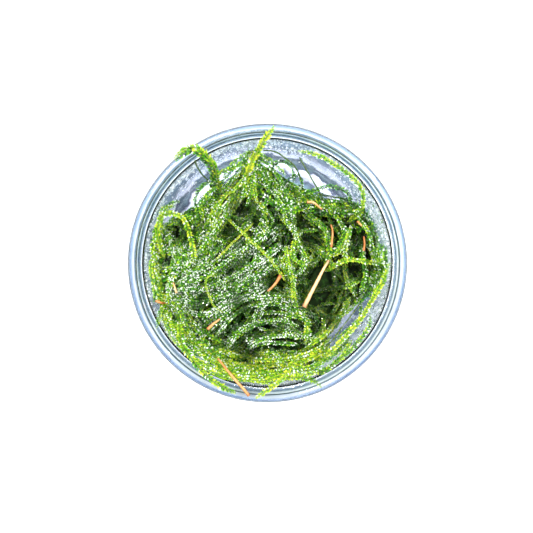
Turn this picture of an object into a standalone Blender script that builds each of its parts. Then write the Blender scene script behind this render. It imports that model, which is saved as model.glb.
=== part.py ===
"""A clump of aquarium moss in a clear plastic cup.

Run with:  blender --background --python part.py
Metres, +Z up. The cup stands on its foot ring at z = 0 and its axis is the Z axis.
+Y is the back, where the moss leaves a gap along the wall, and +X is the right.
"""

import math

import bmesh
import bpy
from mathutils import Vector

MM = 0.001

# Driving dimensions of the cup, in millimetres.
RIM_RADIUS = 45.0  # outer edge of the skirt
CUP_HEIGHT = 52.0
WALL = 0.7
CUP_SIDES = 56
BASE_RADIUS = 36.2  # inside of the wall where it meets the floor
MOUTH_RADIUS = 39.9  # inside of the wall under the ledge
LEDGE_BELOW_RIM = 4.4
# The step out to the rim, as distances out and up from the top of the wall.
LEDGE_STEPS = [(0.0, 0.0), (0.45, 0.65), (1.1, 0.8), (1.5, 1.3), (1.65, 2.7)]
ROLL_RADIUS = 1.5  # of the rim's rounded top
ROLL_INSET = 1.95  # from the skirt's edge in to the middle of the roll
SKIRT = [(0.25, 2.6), (0.0, 3.8)]  # in from the outer edge, and down from the rim's top
FOOT_RING = (31.7, 34.2)  # inner and outer radius of the flat that the cup stands on
FLOOR_FILLET = 2.0
PANEL_RISE = 1.2  # the floor's middle stands this much above the ring
PANEL_EDGE = (1.4, 0.2)  # the slope up to the panel starts and ends this far inside the ring

# The tangle of moss.
CLEARANCE = 0.35  # from the moss to the plastic
MOSS_BOTTOM = PANEL_RISE + WALL + 0.5
MOSS_MIDDLE = 23.0
MOSS_SURFACE = 43.2  # height of the upper side at the cup's axis
MOSS_TILT = 0.09  # the upper side rises this much for each millimetre towards the front
UPPER_ROUNDING = 8  # powers of the curve from the middle to the edge: higher is squarer
LOWER_ROUNDING = 7
RIPPLE = 0.4  # the edge waves in and out by up to this much
# Where the moss stands off the wall: how far, in which direction, how wide to each side, and how
# squarely the gap ends. A ridge of moss runs out to the back between the first two.
GAPS = [
    (8.0, math.radians(128), math.radians(27), 4),
    (10.0, math.radians(66), math.radians(28), 4),
    (6.0, math.radians(-38), math.radians(17), 4),
]
MOSS_COLUMNS = 44
MOSS_RINGS = 22

# The loose pieces on top.
SPRIG_RADIUS = 1.05  # half the width of a leafy sprig, out to its leaf tips
SPRIG_LIFT = 0.9  # room under a sprig that lies on the tangle
STEM_RADIUS = 0.3
STEM_LIFT = 0.6
STRAW_LIFT = 0.5
STEPS_A_SPAN = 3  # steps of the smooth line between two of a route's own points
TUBE_ROUNDNESS = 1  # bevel resolution, which gives eight sides at most


# ---------------------------------------------------------------- helpers


def clear_scene():
    for obj in list(bpy.data.objects):
        bpy.data.objects.remove(obj, do_unlink=True)


def new_collection(name):
    made = bpy.data.collections.new(name)
    bpy.context.scene.collection.children.link(made)
    return made


def material(name, colour, roughness, alpha=1.0, transmission=0.0, ior=1.5):
    made = bpy.data.materials.new(name)
    made.use_nodes = True
    shader = made.node_tree.nodes["Principled BSDF"]
    shader.inputs["Base Color"].default_value = (*colour, 1.0)
    shader.inputs["Roughness"].default_value = roughness
    shader.inputs["Metallic"].default_value = 0.0
    shader.inputs["Transmission Weight"].default_value = transmission
    shader.inputs["IOR"].default_value = ior
    shader.inputs["Alpha"].default_value = alpha
    made.diffuse_color = (*colour, alpha)
    return made


def arc(centre, radius, start_deg, end_deg, steps):
    """Points (r, z) along an arc, both ends included."""
    points = []
    for i in range(steps + 1):
        angle = math.radians(start_deg + (end_deg - start_deg) * i / steps)
        points.append((centre[0] + radius * math.cos(angle), centre[1] + radius * math.sin(angle)))
    return points


def catmull_rom(points, spans):
    """A smooth line through the points, with this many steps between each two."""
    ends = [points[0] * 2 - points[1], *points, points[-1] * 2 - points[-2]]
    line = []
    for i in range(len(points) - 1):
        a, b, c, d = ends[i : i + 4]
        for step in range(spans):
            t = step / spans
            line.append(
                0.5
                * (
                    2 * b
                    + (c - a) * t
                    + (2 * a - 5 * b + 4 * c - d) * t**2
                    + (3 * b - a - 3 * c + d) * t**3
                )
            )
    line.append(points[-1])
    return line


# ---------------------------------------------------------------- the cup


def wall_inside(z):
    """Radius of the inside of the cup's wall at height z."""
    share = z / (CUP_HEIGHT - LEDGE_BELOW_RIM)
    return BASE_RADIUS + (MOUTH_RADIUS - BASE_RADIUS) * share


def cup_lining():
    """The cup's inside as (r, z), from the middle of the floor over the rim to the skirt's hem."""
    ring_inner, ring_outer = FOOT_RING
    panel = PANEL_RISE + WALL
    line = [(0.0, panel), (ring_inner - PANEL_EDGE[0], panel), (ring_inner - PANEL_EDGE[1], WALL)]
    line += arc((ring_outer, WALL + FLOOR_FILLET), FLOOR_FILLET, -90, -4, 4)
    line += [(MOUTH_RADIUS + out, CUP_HEIGHT - LEDGE_BELOW_RIM + up) for out, up in LEDGE_STEPS]
    line += arc((RIM_RADIUS - ROLL_INSET, CUP_HEIGHT - ROLL_RADIUS), ROLL_RADIUS, 170, 12, 7)
    line += [(RIM_RADIUS - inside, CUP_HEIGHT - down) for inside, down in SKIRT]
    return line


def make_cup(collection, plastic):
    points = [(r * MM, 0.0, z * MM) for r, z in cup_lining()]
    edges = [(i, i + 1) for i in range(len(points) - 1)]
    mesh = bpy.data.meshes.new("cup")
    mesh.from_pydata(points, edges, [])
    cup = bpy.data.objects.new("cup", mesh)
    collection.objects.link(cup)
    mesh.materials.append(plastic)

    turn = cup.modifiers.new("turn", "SCREW")
    turn.axis = "Z"
    turn.steps = turn.render_steps = CUP_SIDES
    turn.use_merge_vertices = True
    turn.merge_threshold = 0.00001
    turn.use_smooth_shade = True

    wall = cup.modifiers.new("wall", "SOLIDIFY")
    wall.thickness = WALL * MM
    wall.offset = -1.0
    wall.use_even_offset = True
    return cup


# ---------------------------------------------------------------- the tangle of moss


def moss_reach(angle):
    """How far the tangle reaches from the axis at this angle, halfway up, less where there is a gap."""
    inset = 0.0
    for depth, middle, width, squareness in GAPS:
        off = (angle - middle + math.pi) % (2 * math.pi) - math.pi
        inset += depth * math.exp(-((off / width) ** squareness))
    ripple = RIPPLE * (0.58 * math.sin(5 * angle + 1.0) + 0.42 * math.sin(9 * angle))
    return wall_inside(MOSS_MIDDLE) - CLEARANCE - RIPPLE - inset + ripple


def moss_level(x, y):
    """Height of the tangle's upper side away from its edge: it rises towards the front, with low humps."""
    wide_humps = 0.9 * math.sin(x / 7.0 + 0.6) * math.cos(y / 8.0)
    small_humps = 0.6 * math.sin((x + y) / 5.5)
    return MOSS_SURFACE - MOSS_TILT * y + wide_humps + small_humps


def moss_point(angle, share, above):
    """A point on the tangle, above or below its middle. The share is 0 on the axis and 1 at its widest."""
    power = UPPER_ROUNDING if above else LOWER_ROUNDING
    rise = (1 - share**power) ** (1 / power)
    room = moss_reach(angle) * share
    x, y = room * math.cos(angle), room * math.sin(angle)
    far = moss_level(x, y) if above else MOSS_BOTTOM
    z = MOSS_MIDDLE + (far - MOSS_MIDDLE) * rise
    flare = (wall_inside(z) - CLEARANCE) / (wall_inside(MOSS_MIDDLE) - CLEARANCE)
    return Vector((x * flare, y * flare, z))


def moss_top(x, y):
    """Height of the tangle's upper side at x, y, its rounded edge included."""
    angle = math.atan2(y, x)
    near_edge = 0.97
    reach = moss_point(angle, near_edge, True).xy.length / near_edge
    share = min(0.999, math.hypot(x, y) / reach)
    return moss_point(angle, share, True).z


def make_moss_mass(collection, green):
    """A ball whose points are moved onto the tangle's rounded barrel."""
    mesh = bpy.data.meshes.new("moss_mass")
    body = bmesh.new()
    bmesh.ops.create_uvsphere(body, u_segments=MOSS_COLUMNS, v_segments=MOSS_RINGS, radius=1.0)
    for vertex in body.verts:
        above = vertex.co.z > 0
        angle = math.atan2(vertex.co.y, vertex.co.x)
        from_axis = min(1.0, vertex.co.xy.length)
        share = from_axis ** (2 / (UPPER_ROUNDING if above else LOWER_ROUNDING))
        vertex.co = moss_point(angle, share, above) * MM
    body.to_mesh(mesh)
    body.free()
    mesh.shade_smooth()
    mesh.materials.append(green)
    mass = bpy.data.objects.new("moss_mass", mesh)
    collection.objects.link(mass)
    return mass


# ---------------------------------------------------------------- sprigs, stems and straws

# Each route is a short list of points (x, y, z). A point whose z is None lies on the tangle,
# raised by the piece's own radius and its lift.

SPRIGS = {
    "sprig_back_tip": [
        (-6.0, 30.0, 46.8),
        (-4.9, 33.3, 48.0),
        (-3.5, 35.5, 50.0),
        (-2.3, 37.5, 51.8),
        (-1.0, 39.7, 53.3),
        (0.7, 42.0, 53.9),
        (1.9, 43.4, 53.9),
    ],
    "sprig_rim_fold": [
        (-16.8, 27.1, 47.4),
        (-17.2, 29.8, 50.5),
        (-18.5, 32.4, 53.0),
        (-20.9, 35.0, 54.2),
        (-23.8, 36.5, 54.2),
        (-26.9, 35.2, 53.9),
        (-29.2, 33.2, 53.0),
    ],
    "sprig_wall_arc": [
        (9.9, 36.2, 46.0),
        (15.0, 35.2, 47.0),
        (19.5, 33.0, 47.7),
        (24.2, 30.0, 48.3),
        (27.7, 26.9, 48.8),
        (30.5, 22.6, 49.0),
        (30.2, 18.0, 48.4),
        (29.5, 16.1, 46.2),
    ],
    "sprig_left_loop": [
        (-35.3, 9.0, 46.6),
        (-35.2, 12.7, 47.4),
        (-33.7, 15.4, 48.6),
        (-30.4, 16.2, 49.4),
        (-27.4, 15.2, 49.2),
        (-25.8, 12.0, 48.4),
        (-24.8, 7.4, None),
        (-24.1, 3.7, None),
    ],
    "sprig_left_edge": [
        (-34.4, -14.8, 46.8),
        (-34.7, -16.5, 49.6),
        (-35.0, -18.3, 52.2),
        (-35.2, -19.9, 53.8),
    ],
    "sprig_front_left": [
        (-27.5, -26.3, 48.8),
        (-24.6, -29.9, 50.4),
        (-21.0, -34.0, 52.6),
        (-17.7, -36.8, 53.8),
        (-15.3, -38.5, 54.1),
        (-10.4, -40.7, 54.0),
    ],
    "sprig_front": [
        (5.7, -35.4, 51.2),
        (3.6, -37.5, 52.0),
        (1.0, -39.2, 53.3),
        (-1.4, -40.6, 54.0),
        (-4.0, -42.5, 54.0),
    ],
    "sprig_front_right": [
        (-0.1, -36.0, 47.4),
        (3.7, -36.6, 48.4),
        (7.6, -36.8, 48.9),
        (10.6, -36.6, 49.8),
        (14.0, -36.9, 52.2),
        (15.6, -37.7, 53.6),
        (16.9, -39.0, 54.0),
    ],
    "sprig_right_edge": [
        (39.1, 0.4, 50.0),
        (36.8, -5.9, 49.5),
        (33.0, -12.9, 48.4),
        (28.7, -19.9, 47.4),
        (19.6, -29.4, 46.8),
    ],
    "sprig_right_front": [
        (33.0, -16.5, 49.6),
        (32.4, -20.3, 49.9),
        (29.1, -25.0, 50.1),
        (26.1, -28.1, 50.1),
        (20.0, -33.2, 49.9),
        (17.1, -35.0, 49.4),
    ],
    "sprig_right_cross": [
        (37.3, 2.5, 49.2),
        (35.8, 0.3, 48.4),
        (31.5, 0.5, None),
        (26.8, 1.1, None),
        (22.6, -0.4, None),
    ],
}

BARE_STEMS = {
    "stem_back_arch": [
        (-1.3, 36.3, 46.2),
        (0.5, 36.3, 47.0),
        (3.3, 35.5, 47.2),
        (5.7, 33.8, 47.0),
        (8.3, 31.8, 46.5),
        (9.9, 29.3, 45.5),
        (10.6, 27.5, 44.6),
    ],
    "stem_back_straight": [(10.3, 34.3, 44.8), (12.3, 30.6, 45.2), (15.0, 26.1, 44.8), (16.3, 23.9, 44.3)],
    "stem_left_thin": [
        (-23.0, 33.0, 52.6),
        (-22.6, 31.3, 50.8),
        (-21.2, 28.9, 48.5),
        (-19.7, 27.3, 47.0),
        (-19.0, 26.3, 45.6),
    ],
}

# Route, radius at the start and radius at the end.
STRAWS = {
    "straw_front": ([
        (-16.1, -30.5, 48.8),
        (-13.2, -33.7, 51.4),
        (-10.2, -37.0, 53.4),
        (-8.2, -39.2, 53.4),
        (-6.1, -41.8, 53.4),
    ], 0.55, 0.9),
    "straw_long": ([
        (20.0, 0.8, None),
        (18.2, -2.1, None),
        (16.5, -5.2, None),
        (13.5, -10.9, None),
        (11.9, -14.2, None),
    ], 0.6, 0.8),
    "straw_middle": ([(4.2, -3.9, None), (3.2, -5.7, None), (1.8, -7.5, None), (0.0, -9.1, None)], 0.65, 0.35),
    "straw_right": ([(31.5, 8.6, None), (31.8, 6.2, None), (31.5, 3.9, None)], 0.4, 0.55),
    "straw_right_chip": ([(29.3, 13.6, None), (30.9, 12.0, None)], 0.45, 0.35),
    "straw_inner_right": ([(20.7, 12.5, None), (21.3, 10.0, None), (20.9, 5.1, None)], 0.35, 0.6),
    "straw_back": ([(13.0, 19.8, None), (15.0, 19.7, None), (16.7, 18.4, None), (17.8, 17.4, None)], 0.55, 0.35),
    "straw_left": ([(-36.1, -11.9, 46.6), (-34.5, -12.6, 46.8), (-32.8, -13.2, None)], 0.6, 0.35),
    "straw_left_chip": ([(-30.7, -6.3, None), (-29.6, -9.7, None)], 0.4, 0.6),
    "straw_front_chip": ([(-19.5, -21.4, None), (-18.0, -19.9, None), (-15.5, -18.0, None)], 0.7, 0.4),
}


def smooth_route(route, height_on_tangle):
    """A smooth line through the route, whose points on the tangle are set this much above it."""
    placed = []
    for x, y, z in route:
        height = moss_top(x, y) + height_on_tangle if z is None else z
        placed.append(Vector((x, y, height)))
    return catmull_rom(placed, STEPS_A_SPAN)


def make_tube(collection, name, line, radii, look):
    """A round tube along the line with closed ends, from the first radius at its start to the second."""
    start, end = radii
    curve = bpy.data.curves.new(name, "CURVE")
    curve.dimensions = "3D"
    curve.bevel_depth = MM
    curve.bevel_resolution = TUBE_ROUNDNESS
    curve.use_fill_caps = True
    spline = curve.splines.new("POLY")
    spline.points.add(len(line) - 1)
    for i, point in enumerate(line):
        spline.points[i].co = (*(point * MM), 1.0)
        spline.points[i].radius = start + (end - start) * i / (len(line) - 1)
    curve.materials.append(look)
    tube = bpy.data.objects.new(name, curve)
    collection.objects.link(tube)
    return tube


def main():
    clear_scene()
    collection = new_collection("moss clump in a cup")
    plastic = material("clear_plastic", (0.86, 0.92, 0.96), 0.05, alpha=0.3, transmission=1.0, ior=1.49)
    moss_green = material("moss_green", (0.10, 0.28, 0.03), 0.55)
    tip_green = material("sprig_green", (0.34, 0.50, 0.05), 0.5)
    stem_green = material("bare_stem", (0.12, 0.20, 0.06), 0.5)
    straw_brown = material("straw", (0.62, 0.34, 0.14), 0.6)

    make_cup(collection, plastic)
    make_moss_mass(collection, moss_green)
    for name, route in SPRIGS.items():
        line = smooth_route(route, SPRIG_RADIUS + SPRIG_LIFT)
        make_tube(collection, name, line, (SPRIG_RADIUS, SPRIG_RADIUS), tip_green)
    for name, route in BARE_STEMS.items():
        line = smooth_route(route, STEM_RADIUS + STEM_LIFT)
        make_tube(collection, name, line, (STEM_RADIUS, STEM_RADIUS), stem_green)
    for name, (route, start, end) in STRAWS.items():
        line = smooth_route(route, max(start, end) + STRAW_LIFT)
        make_tube(collection, name, line, (start, end), straw_brown)


main()
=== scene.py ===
# %% [markdown]
# # A tangle of water moss in a clear cup
# Moss sold for aquariums comes as a wet handful pressed into a clear cup. Hundreds of wiry stems,
# each with two rows of leaves about a millimetre long, lie over and under each other. The lesson
# keeps the solid model as a fixed frame, and builds the fine surface around it: a turned cup with
# breath-like drops inside, a dark heart, combed strands, loose sprigs and scraps of straw.

# %% Load the fixed frame
import math
import random
from collections import namedtuple

import bmesh
import bpy
import numpy as np
from mathutils import Matrix, Vector
from mathutils.bvhtree import BVHTree
from mathutils.noise import noise


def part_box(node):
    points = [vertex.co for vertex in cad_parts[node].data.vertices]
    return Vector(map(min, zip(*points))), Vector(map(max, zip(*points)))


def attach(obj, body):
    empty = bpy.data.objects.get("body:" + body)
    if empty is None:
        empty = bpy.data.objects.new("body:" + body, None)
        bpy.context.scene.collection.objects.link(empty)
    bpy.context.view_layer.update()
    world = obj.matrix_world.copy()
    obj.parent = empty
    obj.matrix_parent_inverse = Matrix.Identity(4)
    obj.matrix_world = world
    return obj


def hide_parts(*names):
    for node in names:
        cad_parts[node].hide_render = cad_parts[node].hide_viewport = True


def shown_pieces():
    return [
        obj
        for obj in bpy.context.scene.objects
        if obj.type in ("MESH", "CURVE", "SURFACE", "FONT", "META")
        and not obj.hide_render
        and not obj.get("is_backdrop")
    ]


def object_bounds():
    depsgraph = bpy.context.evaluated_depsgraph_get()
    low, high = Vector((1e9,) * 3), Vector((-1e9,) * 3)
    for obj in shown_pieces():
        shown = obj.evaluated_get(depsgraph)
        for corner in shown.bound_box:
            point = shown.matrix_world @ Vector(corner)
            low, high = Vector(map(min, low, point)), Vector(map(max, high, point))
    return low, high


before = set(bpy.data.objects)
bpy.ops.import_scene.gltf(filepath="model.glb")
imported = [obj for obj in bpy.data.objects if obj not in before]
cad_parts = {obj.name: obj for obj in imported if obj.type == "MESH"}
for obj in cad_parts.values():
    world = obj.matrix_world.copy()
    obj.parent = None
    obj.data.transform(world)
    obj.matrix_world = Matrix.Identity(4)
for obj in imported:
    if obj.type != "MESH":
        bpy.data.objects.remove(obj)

MM = 0.001
cad_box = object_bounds()
_, cup_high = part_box("cup")
RIM_RADIUS = cup_high.x / MM
CUP_HEIGHT = cup_high.z / MM
print(f"cup {2 * RIM_RADIUS:.1f} mm across and {CUP_HEIGHT:.1f} mm high, {len(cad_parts)} nodes")

# %% [markdown]
# ## The camera
# The cup is looked at from almost straight above, with the lens about 32 cm over the rim. From there
# Blender's usual "track to" has no way to tell which side is up, so the camera's three axes are
# worked out from where it looks and from the direction that should be up in the picture.

# %% Place the camera
def linked(name, data):
    """A new object of the scene."""
    made = bpy.data.objects.new(name, data)
    bpy.context.scene.collection.objects.link(made)
    return made


EYE = Vector((-7.2, 20.6, 372.0)) * MM
AIM = Vector((-0.5, -0.6, CUP_HEIGHT)) * MM

camera_data = bpy.data.cameras.new("overhead")
camera_data.lens = 68.2
camera_data.clip_start = 0.01
camera = linked("overhead", camera_data)
forward = (AIM - EYE).normalized()
right = forward.cross(Vector((0.0, 1.0, 0.0))).normalized()
upward = right.cross(forward)
turned_to_aim = Matrix((right, upward, -forward)).transposed().to_4x4()
camera.matrix_world = Matrix.Translation(EYE) @ turned_to_aim
bpy.context.scene.camera = camera

# %% [markdown]
# ## Helpers for node trees
# Materials and Geometry Nodes are both trees of nodes. One small function adds a node, sets its
# options and fills its inputs, and an input may be a number or another node's output.


# %% Add a node to a tree
def node(tree, kind, inputs=(), **settings):
    made = tree.nodes.new(kind)
    for name, value in settings.items():
        setattr(made, name, value)
    filled = inputs.items() if isinstance(inputs, dict) else enumerate(inputs)
    for key, value in filled:
        if isinstance(value, bpy.types.NodeSocket):
            tree.links.new(value, made.inputs[key])
        elif value is not None:
            made.inputs[key].default_value = value
    return made


def shader_node(tree, kind, inputs=(), **settings):
    """The first output of a new shader node."""
    return node(tree, "ShaderNode" + kind, inputs, **settings).outputs[0]


def geometry_node(tree, kind, inputs=(), **settings):
    """The first output of a new geometry node."""
    return node(tree, "GeometryNode" + kind, inputs, **settings).outputs[0]


def maths(tree, operation, *values):
    return shader_node(tree, "Math", values, operation=operation)


def times(tree, first, second):
    return maths(tree, "MULTIPLY", first, second)


def minus(tree, first, second):
    return maths(tree, "SUBTRACT", first, second)


def vectors(tree, operation, *values):
    return shader_node(tree, "VectorMath", values, operation=operation)


def scaled(tree, vector, factor):
    return shader_node(tree, "VectorMath", {"Vector": vector, "Scale": factor}, operation="SCALE")


def length_of(tree, vector):
    return node(tree, "ShaderNodeVectorMath", (vector,), operation="LENGTH").outputs["Value"]


def own_place(tree):
    """Places in the piece's own space."""
    return node(tree, "ShaderNodeTexCoord").outputs["Object"]


def noisy(tree, place, scale, detail):
    return shader_node(tree, "TexNoise", {"Vector": place, "Scale": scale, "Detail": detail})


def mixed(tree, share, first, second):
    """The first colour where the share is 0 and the second where it is 1."""
    made = node(tree, "ShaderNodeMix", {0: share, 6: first, 7: second}, data_type="RGBA")
    return made.outputs[2]


def spread(tree, value, low, high, to_low=0.0, to_high=1.0):
    """The value moved from low..high to another range, and kept inside it."""
    return shader_node(tree, "MapRange", (value, low, high, to_low, to_high))


def ramp(tree, value, stops):
    """A colour read from stops of (place, colour)."""
    made = node(tree, "ShaderNodeValToRGB", (value,))
    bar = made.color_ramp
    for place, colour in stops[1:-1]:
        bar.elements.new(place).color = (*colour, 1.0)
    bar.elements[0].color = (*stops[0][1], 1.0)
    bar.elements[-1].color = (*stops[-1][1], 1.0)
    bar.elements[0].position = stops[0][0]
    bar.elements[-1].position = stops[-1][0]
    return made.outputs[0]


def ring_colours(tree, distance, rings):
    """A colour read from rings of (distance, colour)."""
    inner, outer = rings[0][0], rings[-1][0]
    stops = [((far - inner) / (outer - inner), colour) for far, colour in rings]
    return ramp(tree, spread(tree, distance, inner, outer), stops)


def new_group(name, kind, inputs, outputs):
    """An empty node group with named inputs (name, type, default) and outputs (name, type)."""
    tree = bpy.data.node_groups.new(name, kind)
    for label, socket, default in inputs:
        made = tree.interface.new_socket(label, in_out="INPUT", socket_type="NodeSocket" + socket)
        if default is not None:
            made.default_value = default
    for label, socket in outputs:
        tree.interface.new_socket(label, in_out="OUTPUT", socket_type="NodeSocket" + socket)
    return tree, node(tree, "NodeGroupInput").outputs, node(tree, "NodeGroupOutput").inputs


# %% [markdown]
# ## Effects that several materials share
# Everything in the cup is wet, so leaves, stems and straws all get the same thin film of water: a
# patchy gloss with a fine bump that breaks a highlight into specks. The cup and the drops share
# another effect, the faint rub marks and haze that moulded plastic gets from handling.

# %% Build the wet film
film, given, out = new_group(
    "wet_film",
    "ShaderNodeTree",
    [("Patch size", "Float", 2.0), ("Wet roughness", "Float", 0.15), ("Dry roughness", "Float", 0.5),
     ("Bump", "Float", 0.3)],
    [("Roughness", "Float"), ("Coat", "Float"), ("Normal", "Vector")],
)
place = own_place(film)
patches = maths(film, "DIVIDE", 1.0 / MM, given["Patch size"])
wet = spread(film, noisy(film, place, patches, 3.0), 0.4, 0.6)
grain = noisy(film, place, 5200.0, 2.0)
bump = shader_node(film, "Bump", {"Strength": given["Bump"], "Distance": 0.1 * MM, "Height": grain})
roughness = spread(film, wet, 0.0, 1.0, given["Dry roughness"], given["Wet roughness"])
film.links.new(roughness, out["Roughness"])
film.links.new(wet, out["Coat"])
film.links.new(bump, out["Normal"])

# %% Build the rub marks of clear plastic
marks, given, out = new_group(
    "rub_marks",
    "ShaderNodeTree",
    [("Clear roughness", "Float", 0.02), ("Haze", "Float", 0.2), ("Bump", "Float", 0.1)],
    [("Roughness", "Float"), ("Normal", "Vector")],
)
place = own_place(marks)
stretched = shader_node(marks, "Mapping", {"Vector": place, "Scale": (1.0, 1.0, 14.0)})
rubs = noisy(marks, stretched, 900.0, 4.0)
hazy = times(marks, spread(marks, noisy(marks, place, 140.0, 5.0), 0.5, 0.75), given["Haze"])
bump = shader_node(marks, "Bump", {"Strength": given["Bump"], "Distance": 0.05 * MM, "Height": rubs})
marks.links.new(maths(marks, "ADD", hazy, given["Clear roughness"]), out["Roughness"])
marks.links.new(bump, out["Normal"])
print("shared effects:", film.name, "and", marks.name)


# %% [markdown]
# ## Materials
# Each strand of moss carries three numbers on its mesh: its tone from old dark green to young
# yellow-green, how wet it is, which sets how many of its leaves get a painted glint, and its
# shade, painted low deep in the tangle where little light gets. Each leaf adds a number of its
# own. The leaf material only mixes these, so thousands of leaves differ without a single picture.


# %% Materials of the moss
def new_material(name):
    made = bpy.data.materials.new(name)
    made.use_nodes = True
    return made, made.node_tree, made.node_tree.nodes["Principled BSDF"].inputs


def attribute(tree, name):
    return node(tree, "ShaderNodeAttribute", attribute_name=name).outputs["Fac"]


WATER_IOR = 1.33


def add_effect(tree, shader, group, *amounts):
    """Puts a shared effect in a material. The amounts are the effect's inputs, in their order."""
    made = node(tree, "ShaderNodeGroup", amounts, node_tree=group).outputs
    tree.links.new(made["Roughness"], shader["Roughness"])
    tree.links.new(made["Normal"], shader["Normal"])
    return made


LEAF_STOPS = [
    (0.0, (0.003, 0.012, 0.002)),
    (0.25, (0.010, 0.075, 0.003)),
    (0.5, (0.055, 0.30, 0.008)),
    (0.75, (0.27, 0.54, 0.012)),
    (1.0, (0.72, 0.76, 0.05)),
]
# Painted highlight: a share of the leaves, larger where a strand is wet, is coloured near white towards the
# tip, as glints of light on wet leaves.
GLINT_WHITE = (0.80, 0.90, 0.78)
GLINT_SHARE = 0.58  # of the leaves of a strand that is quite wet
OWN_GAIN = 0.62  # how far leaves of one strand differ in tone
TIP_GAIN = 0.46  # how much lighter a leaf is at its tip


def leaf_material():
    made, tree, shader = new_material("moss_leaf")
    own, along, shade = (attribute(tree, name) for name in ("own", "along", "shade"))
    lowest = minus(tree, attribute(tree, "tone"), 0.5 * (OWN_GAIN + TIP_GAIN))
    varied = maths(tree, "MULTIPLY_ADD", own, OWN_GAIN, lowest)
    tipped = maths(tree, "MULTIPLY_ADD", along, TIP_GAIN, varied)
    green = ramp(tree, tipped, LEAF_STOPS)
    shuffled = maths(tree, "FRACT", times(tree, own, 7.31))
    # Which leaves carry the painted glint: a random share that grows with the strand's wetness.
    glint_leaf = maths(tree, "LESS_THAN", shuffled, times(tree, attribute(tree, "wet"), GLINT_SHARE))
    glinting = times(tree, glint_leaf, spread(tree, along, 0.2, 0.5))
    # In the deep only the brightest tips still glint.
    painted_glint = spread(tree, times(tree, glinting, shade), 0.3, 0.7)
    # Painted shade: each leaf is darkened near the stem, where the leaves crowd over each other.
    shaded_base = mixed(tree, spread(tree, along, 0.0, 0.5, 0.25, 1.0), (0.006, 0.035, 0.003, 1.0), green)
    lit = mixed(tree, painted_glint, shaded_base, (*GLINT_WHITE, 1.0))
    shaded = mixed(tree, shade, (0.002, 0.009, 0.002, 1.0), lit)
    tree.links.new(shaded, shader["Base Color"])
    effect = add_effect(tree, shader, film, 1.6, 0.16, 0.5, 0.35)
    tree.links.new(effect["Coat"], shader["Coat Weight"])
    shader["Coat Roughness"].default_value = 0.08
    shader["Coat IOR"].default_value = WATER_IOR
    shader["Specular IOR Level"].default_value = 0.2
    return made


moss_leaf = leaf_material()
print("leaf material:", moss_leaf.name)


# %% Materials of stems, straws and the heart
def stem_material():
    made, tree, shader = new_material("wiry_stem")
    knots = noisy(tree, own_place(tree), 420.0, 3.0)
    tone = maths(tree, "MULTIPLY_ADD", knots, 0.5, minus(tree, attribute(tree, "tone"), 0.25))
    stops = [(0.0, (0.03, 0.035, 0.012)), (0.45, (0.055, 0.12, 0.015)), (1.0, (0.42, 0.52, 0.05))]
    shaded = mixed(tree, attribute(tree, "shade"), (0.004, 0.008, 0.003, 1.0), ramp(tree, tone, stops))
    tree.links.new(shaded, shader["Base Color"])
    add_effect(tree, shader, film, 2.0, 0.15, 0.4, 0.3)
    return made


def straw_material():
    made, tree, shader = new_material("dry_straw")
    place = own_place(tree)
    blotch = noisy(tree, place, 700.0, 5.0)
    fibres = noisy(tree, place, 3800.0, 2.0)
    value = maths(tree, "MULTIPLY_ADD", blotch, 0.6, minus(tree, attribute(tree, "tone"), 0.3))
    value = maths(tree, "MULTIPLY_ADD", fibres, 0.25, minus(tree, value, 0.12))
    # Painted light: the upper side of a scrap is lighter and its lower sides darker, as light from above
    # falls.
    value = maths(tree, "ADD", value, spread(tree, attribute(tree, "upper"), 0.2, 1.0, -0.5, 0.08))
    stops = [
        (0.0, (0.16, 0.035, 0.008)),
        (0.35, (0.46, 0.13, 0.025)),
        (0.65, (0.72, 0.34, 0.10)),
        (1.0, (0.88, 0.66, 0.34)),
    ]
    from_middle = maths(tree, "ABSOLUTE", minus(tree, attribute(tree, "along"), 0.5))
    ends = spread(tree, from_middle, 0.38, 0.5, 0.0, 0.75)
    colour = mixed(tree, ends, ramp(tree, value, stops), (0.36, 0.10, 0.03, 1.0))
    tree.links.new(colour, shader["Base Color"])
    add_effect(tree, shader, film, 3.0, 0.22, 0.55, 0.5)
    return made


def heart_material():
    made, tree, shader = new_material("dark_heart")
    # Near-black painted shade, in lumps.
    clumps = noisy(tree, own_place(tree), 520.0, 6.0)
    stops = [(0.35, (0.003, 0.005, 0.002)), (0.6, (0.008, 0.022, 0.004)), (0.8, (0.02, 0.07, 0.008))]
    tree.links.new(ramp(tree, clumps, stops), shader["Base Color"])
    shader["Roughness"].default_value = 0.9
    shader["Specular IOR Level"].default_value = 0.1
    return made


wiry_stem = stem_material()
dry_straw = straw_material()
dark_heart = heart_material()


# %% [markdown]
# The cup is thin clear plastic. Cycles would need thousands of samples to find the light that
# bends through it, so rays that only ask whether a lamp is in sight pass straight through: the
# material mixes in a Transparent shader for shadow rays, which is the usual way to light what is
# inside a glass.


# %% Materials that are clear
def clear_material(name, colour, ior, clear_roughness, haze, bump_strength):
    made, tree, shader = new_material(name)
    add_effect(tree, shader, marks, clear_roughness, haze, bump_strength)
    shader["Base Color"].default_value = (*colour, 1.0)
    shader["IOR"].default_value = ior
    shader["Transmission Weight"].default_value = 1.0
    through = shader_node(tree, "BsdfTransparent", ((*(0.9 * c for c in colour), 1.0),))
    ray = node(tree, "ShaderNodeLightPath").outputs["Is Shadow Ray"]
    body = tree.nodes["Principled BSDF"].outputs[0]
    surface = shader_node(tree, "MixShader", (ray, body, through))
    tree.links.new(surface, tree.nodes["Material Output"].inputs["Surface"])
    return made, tree, shader
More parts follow.
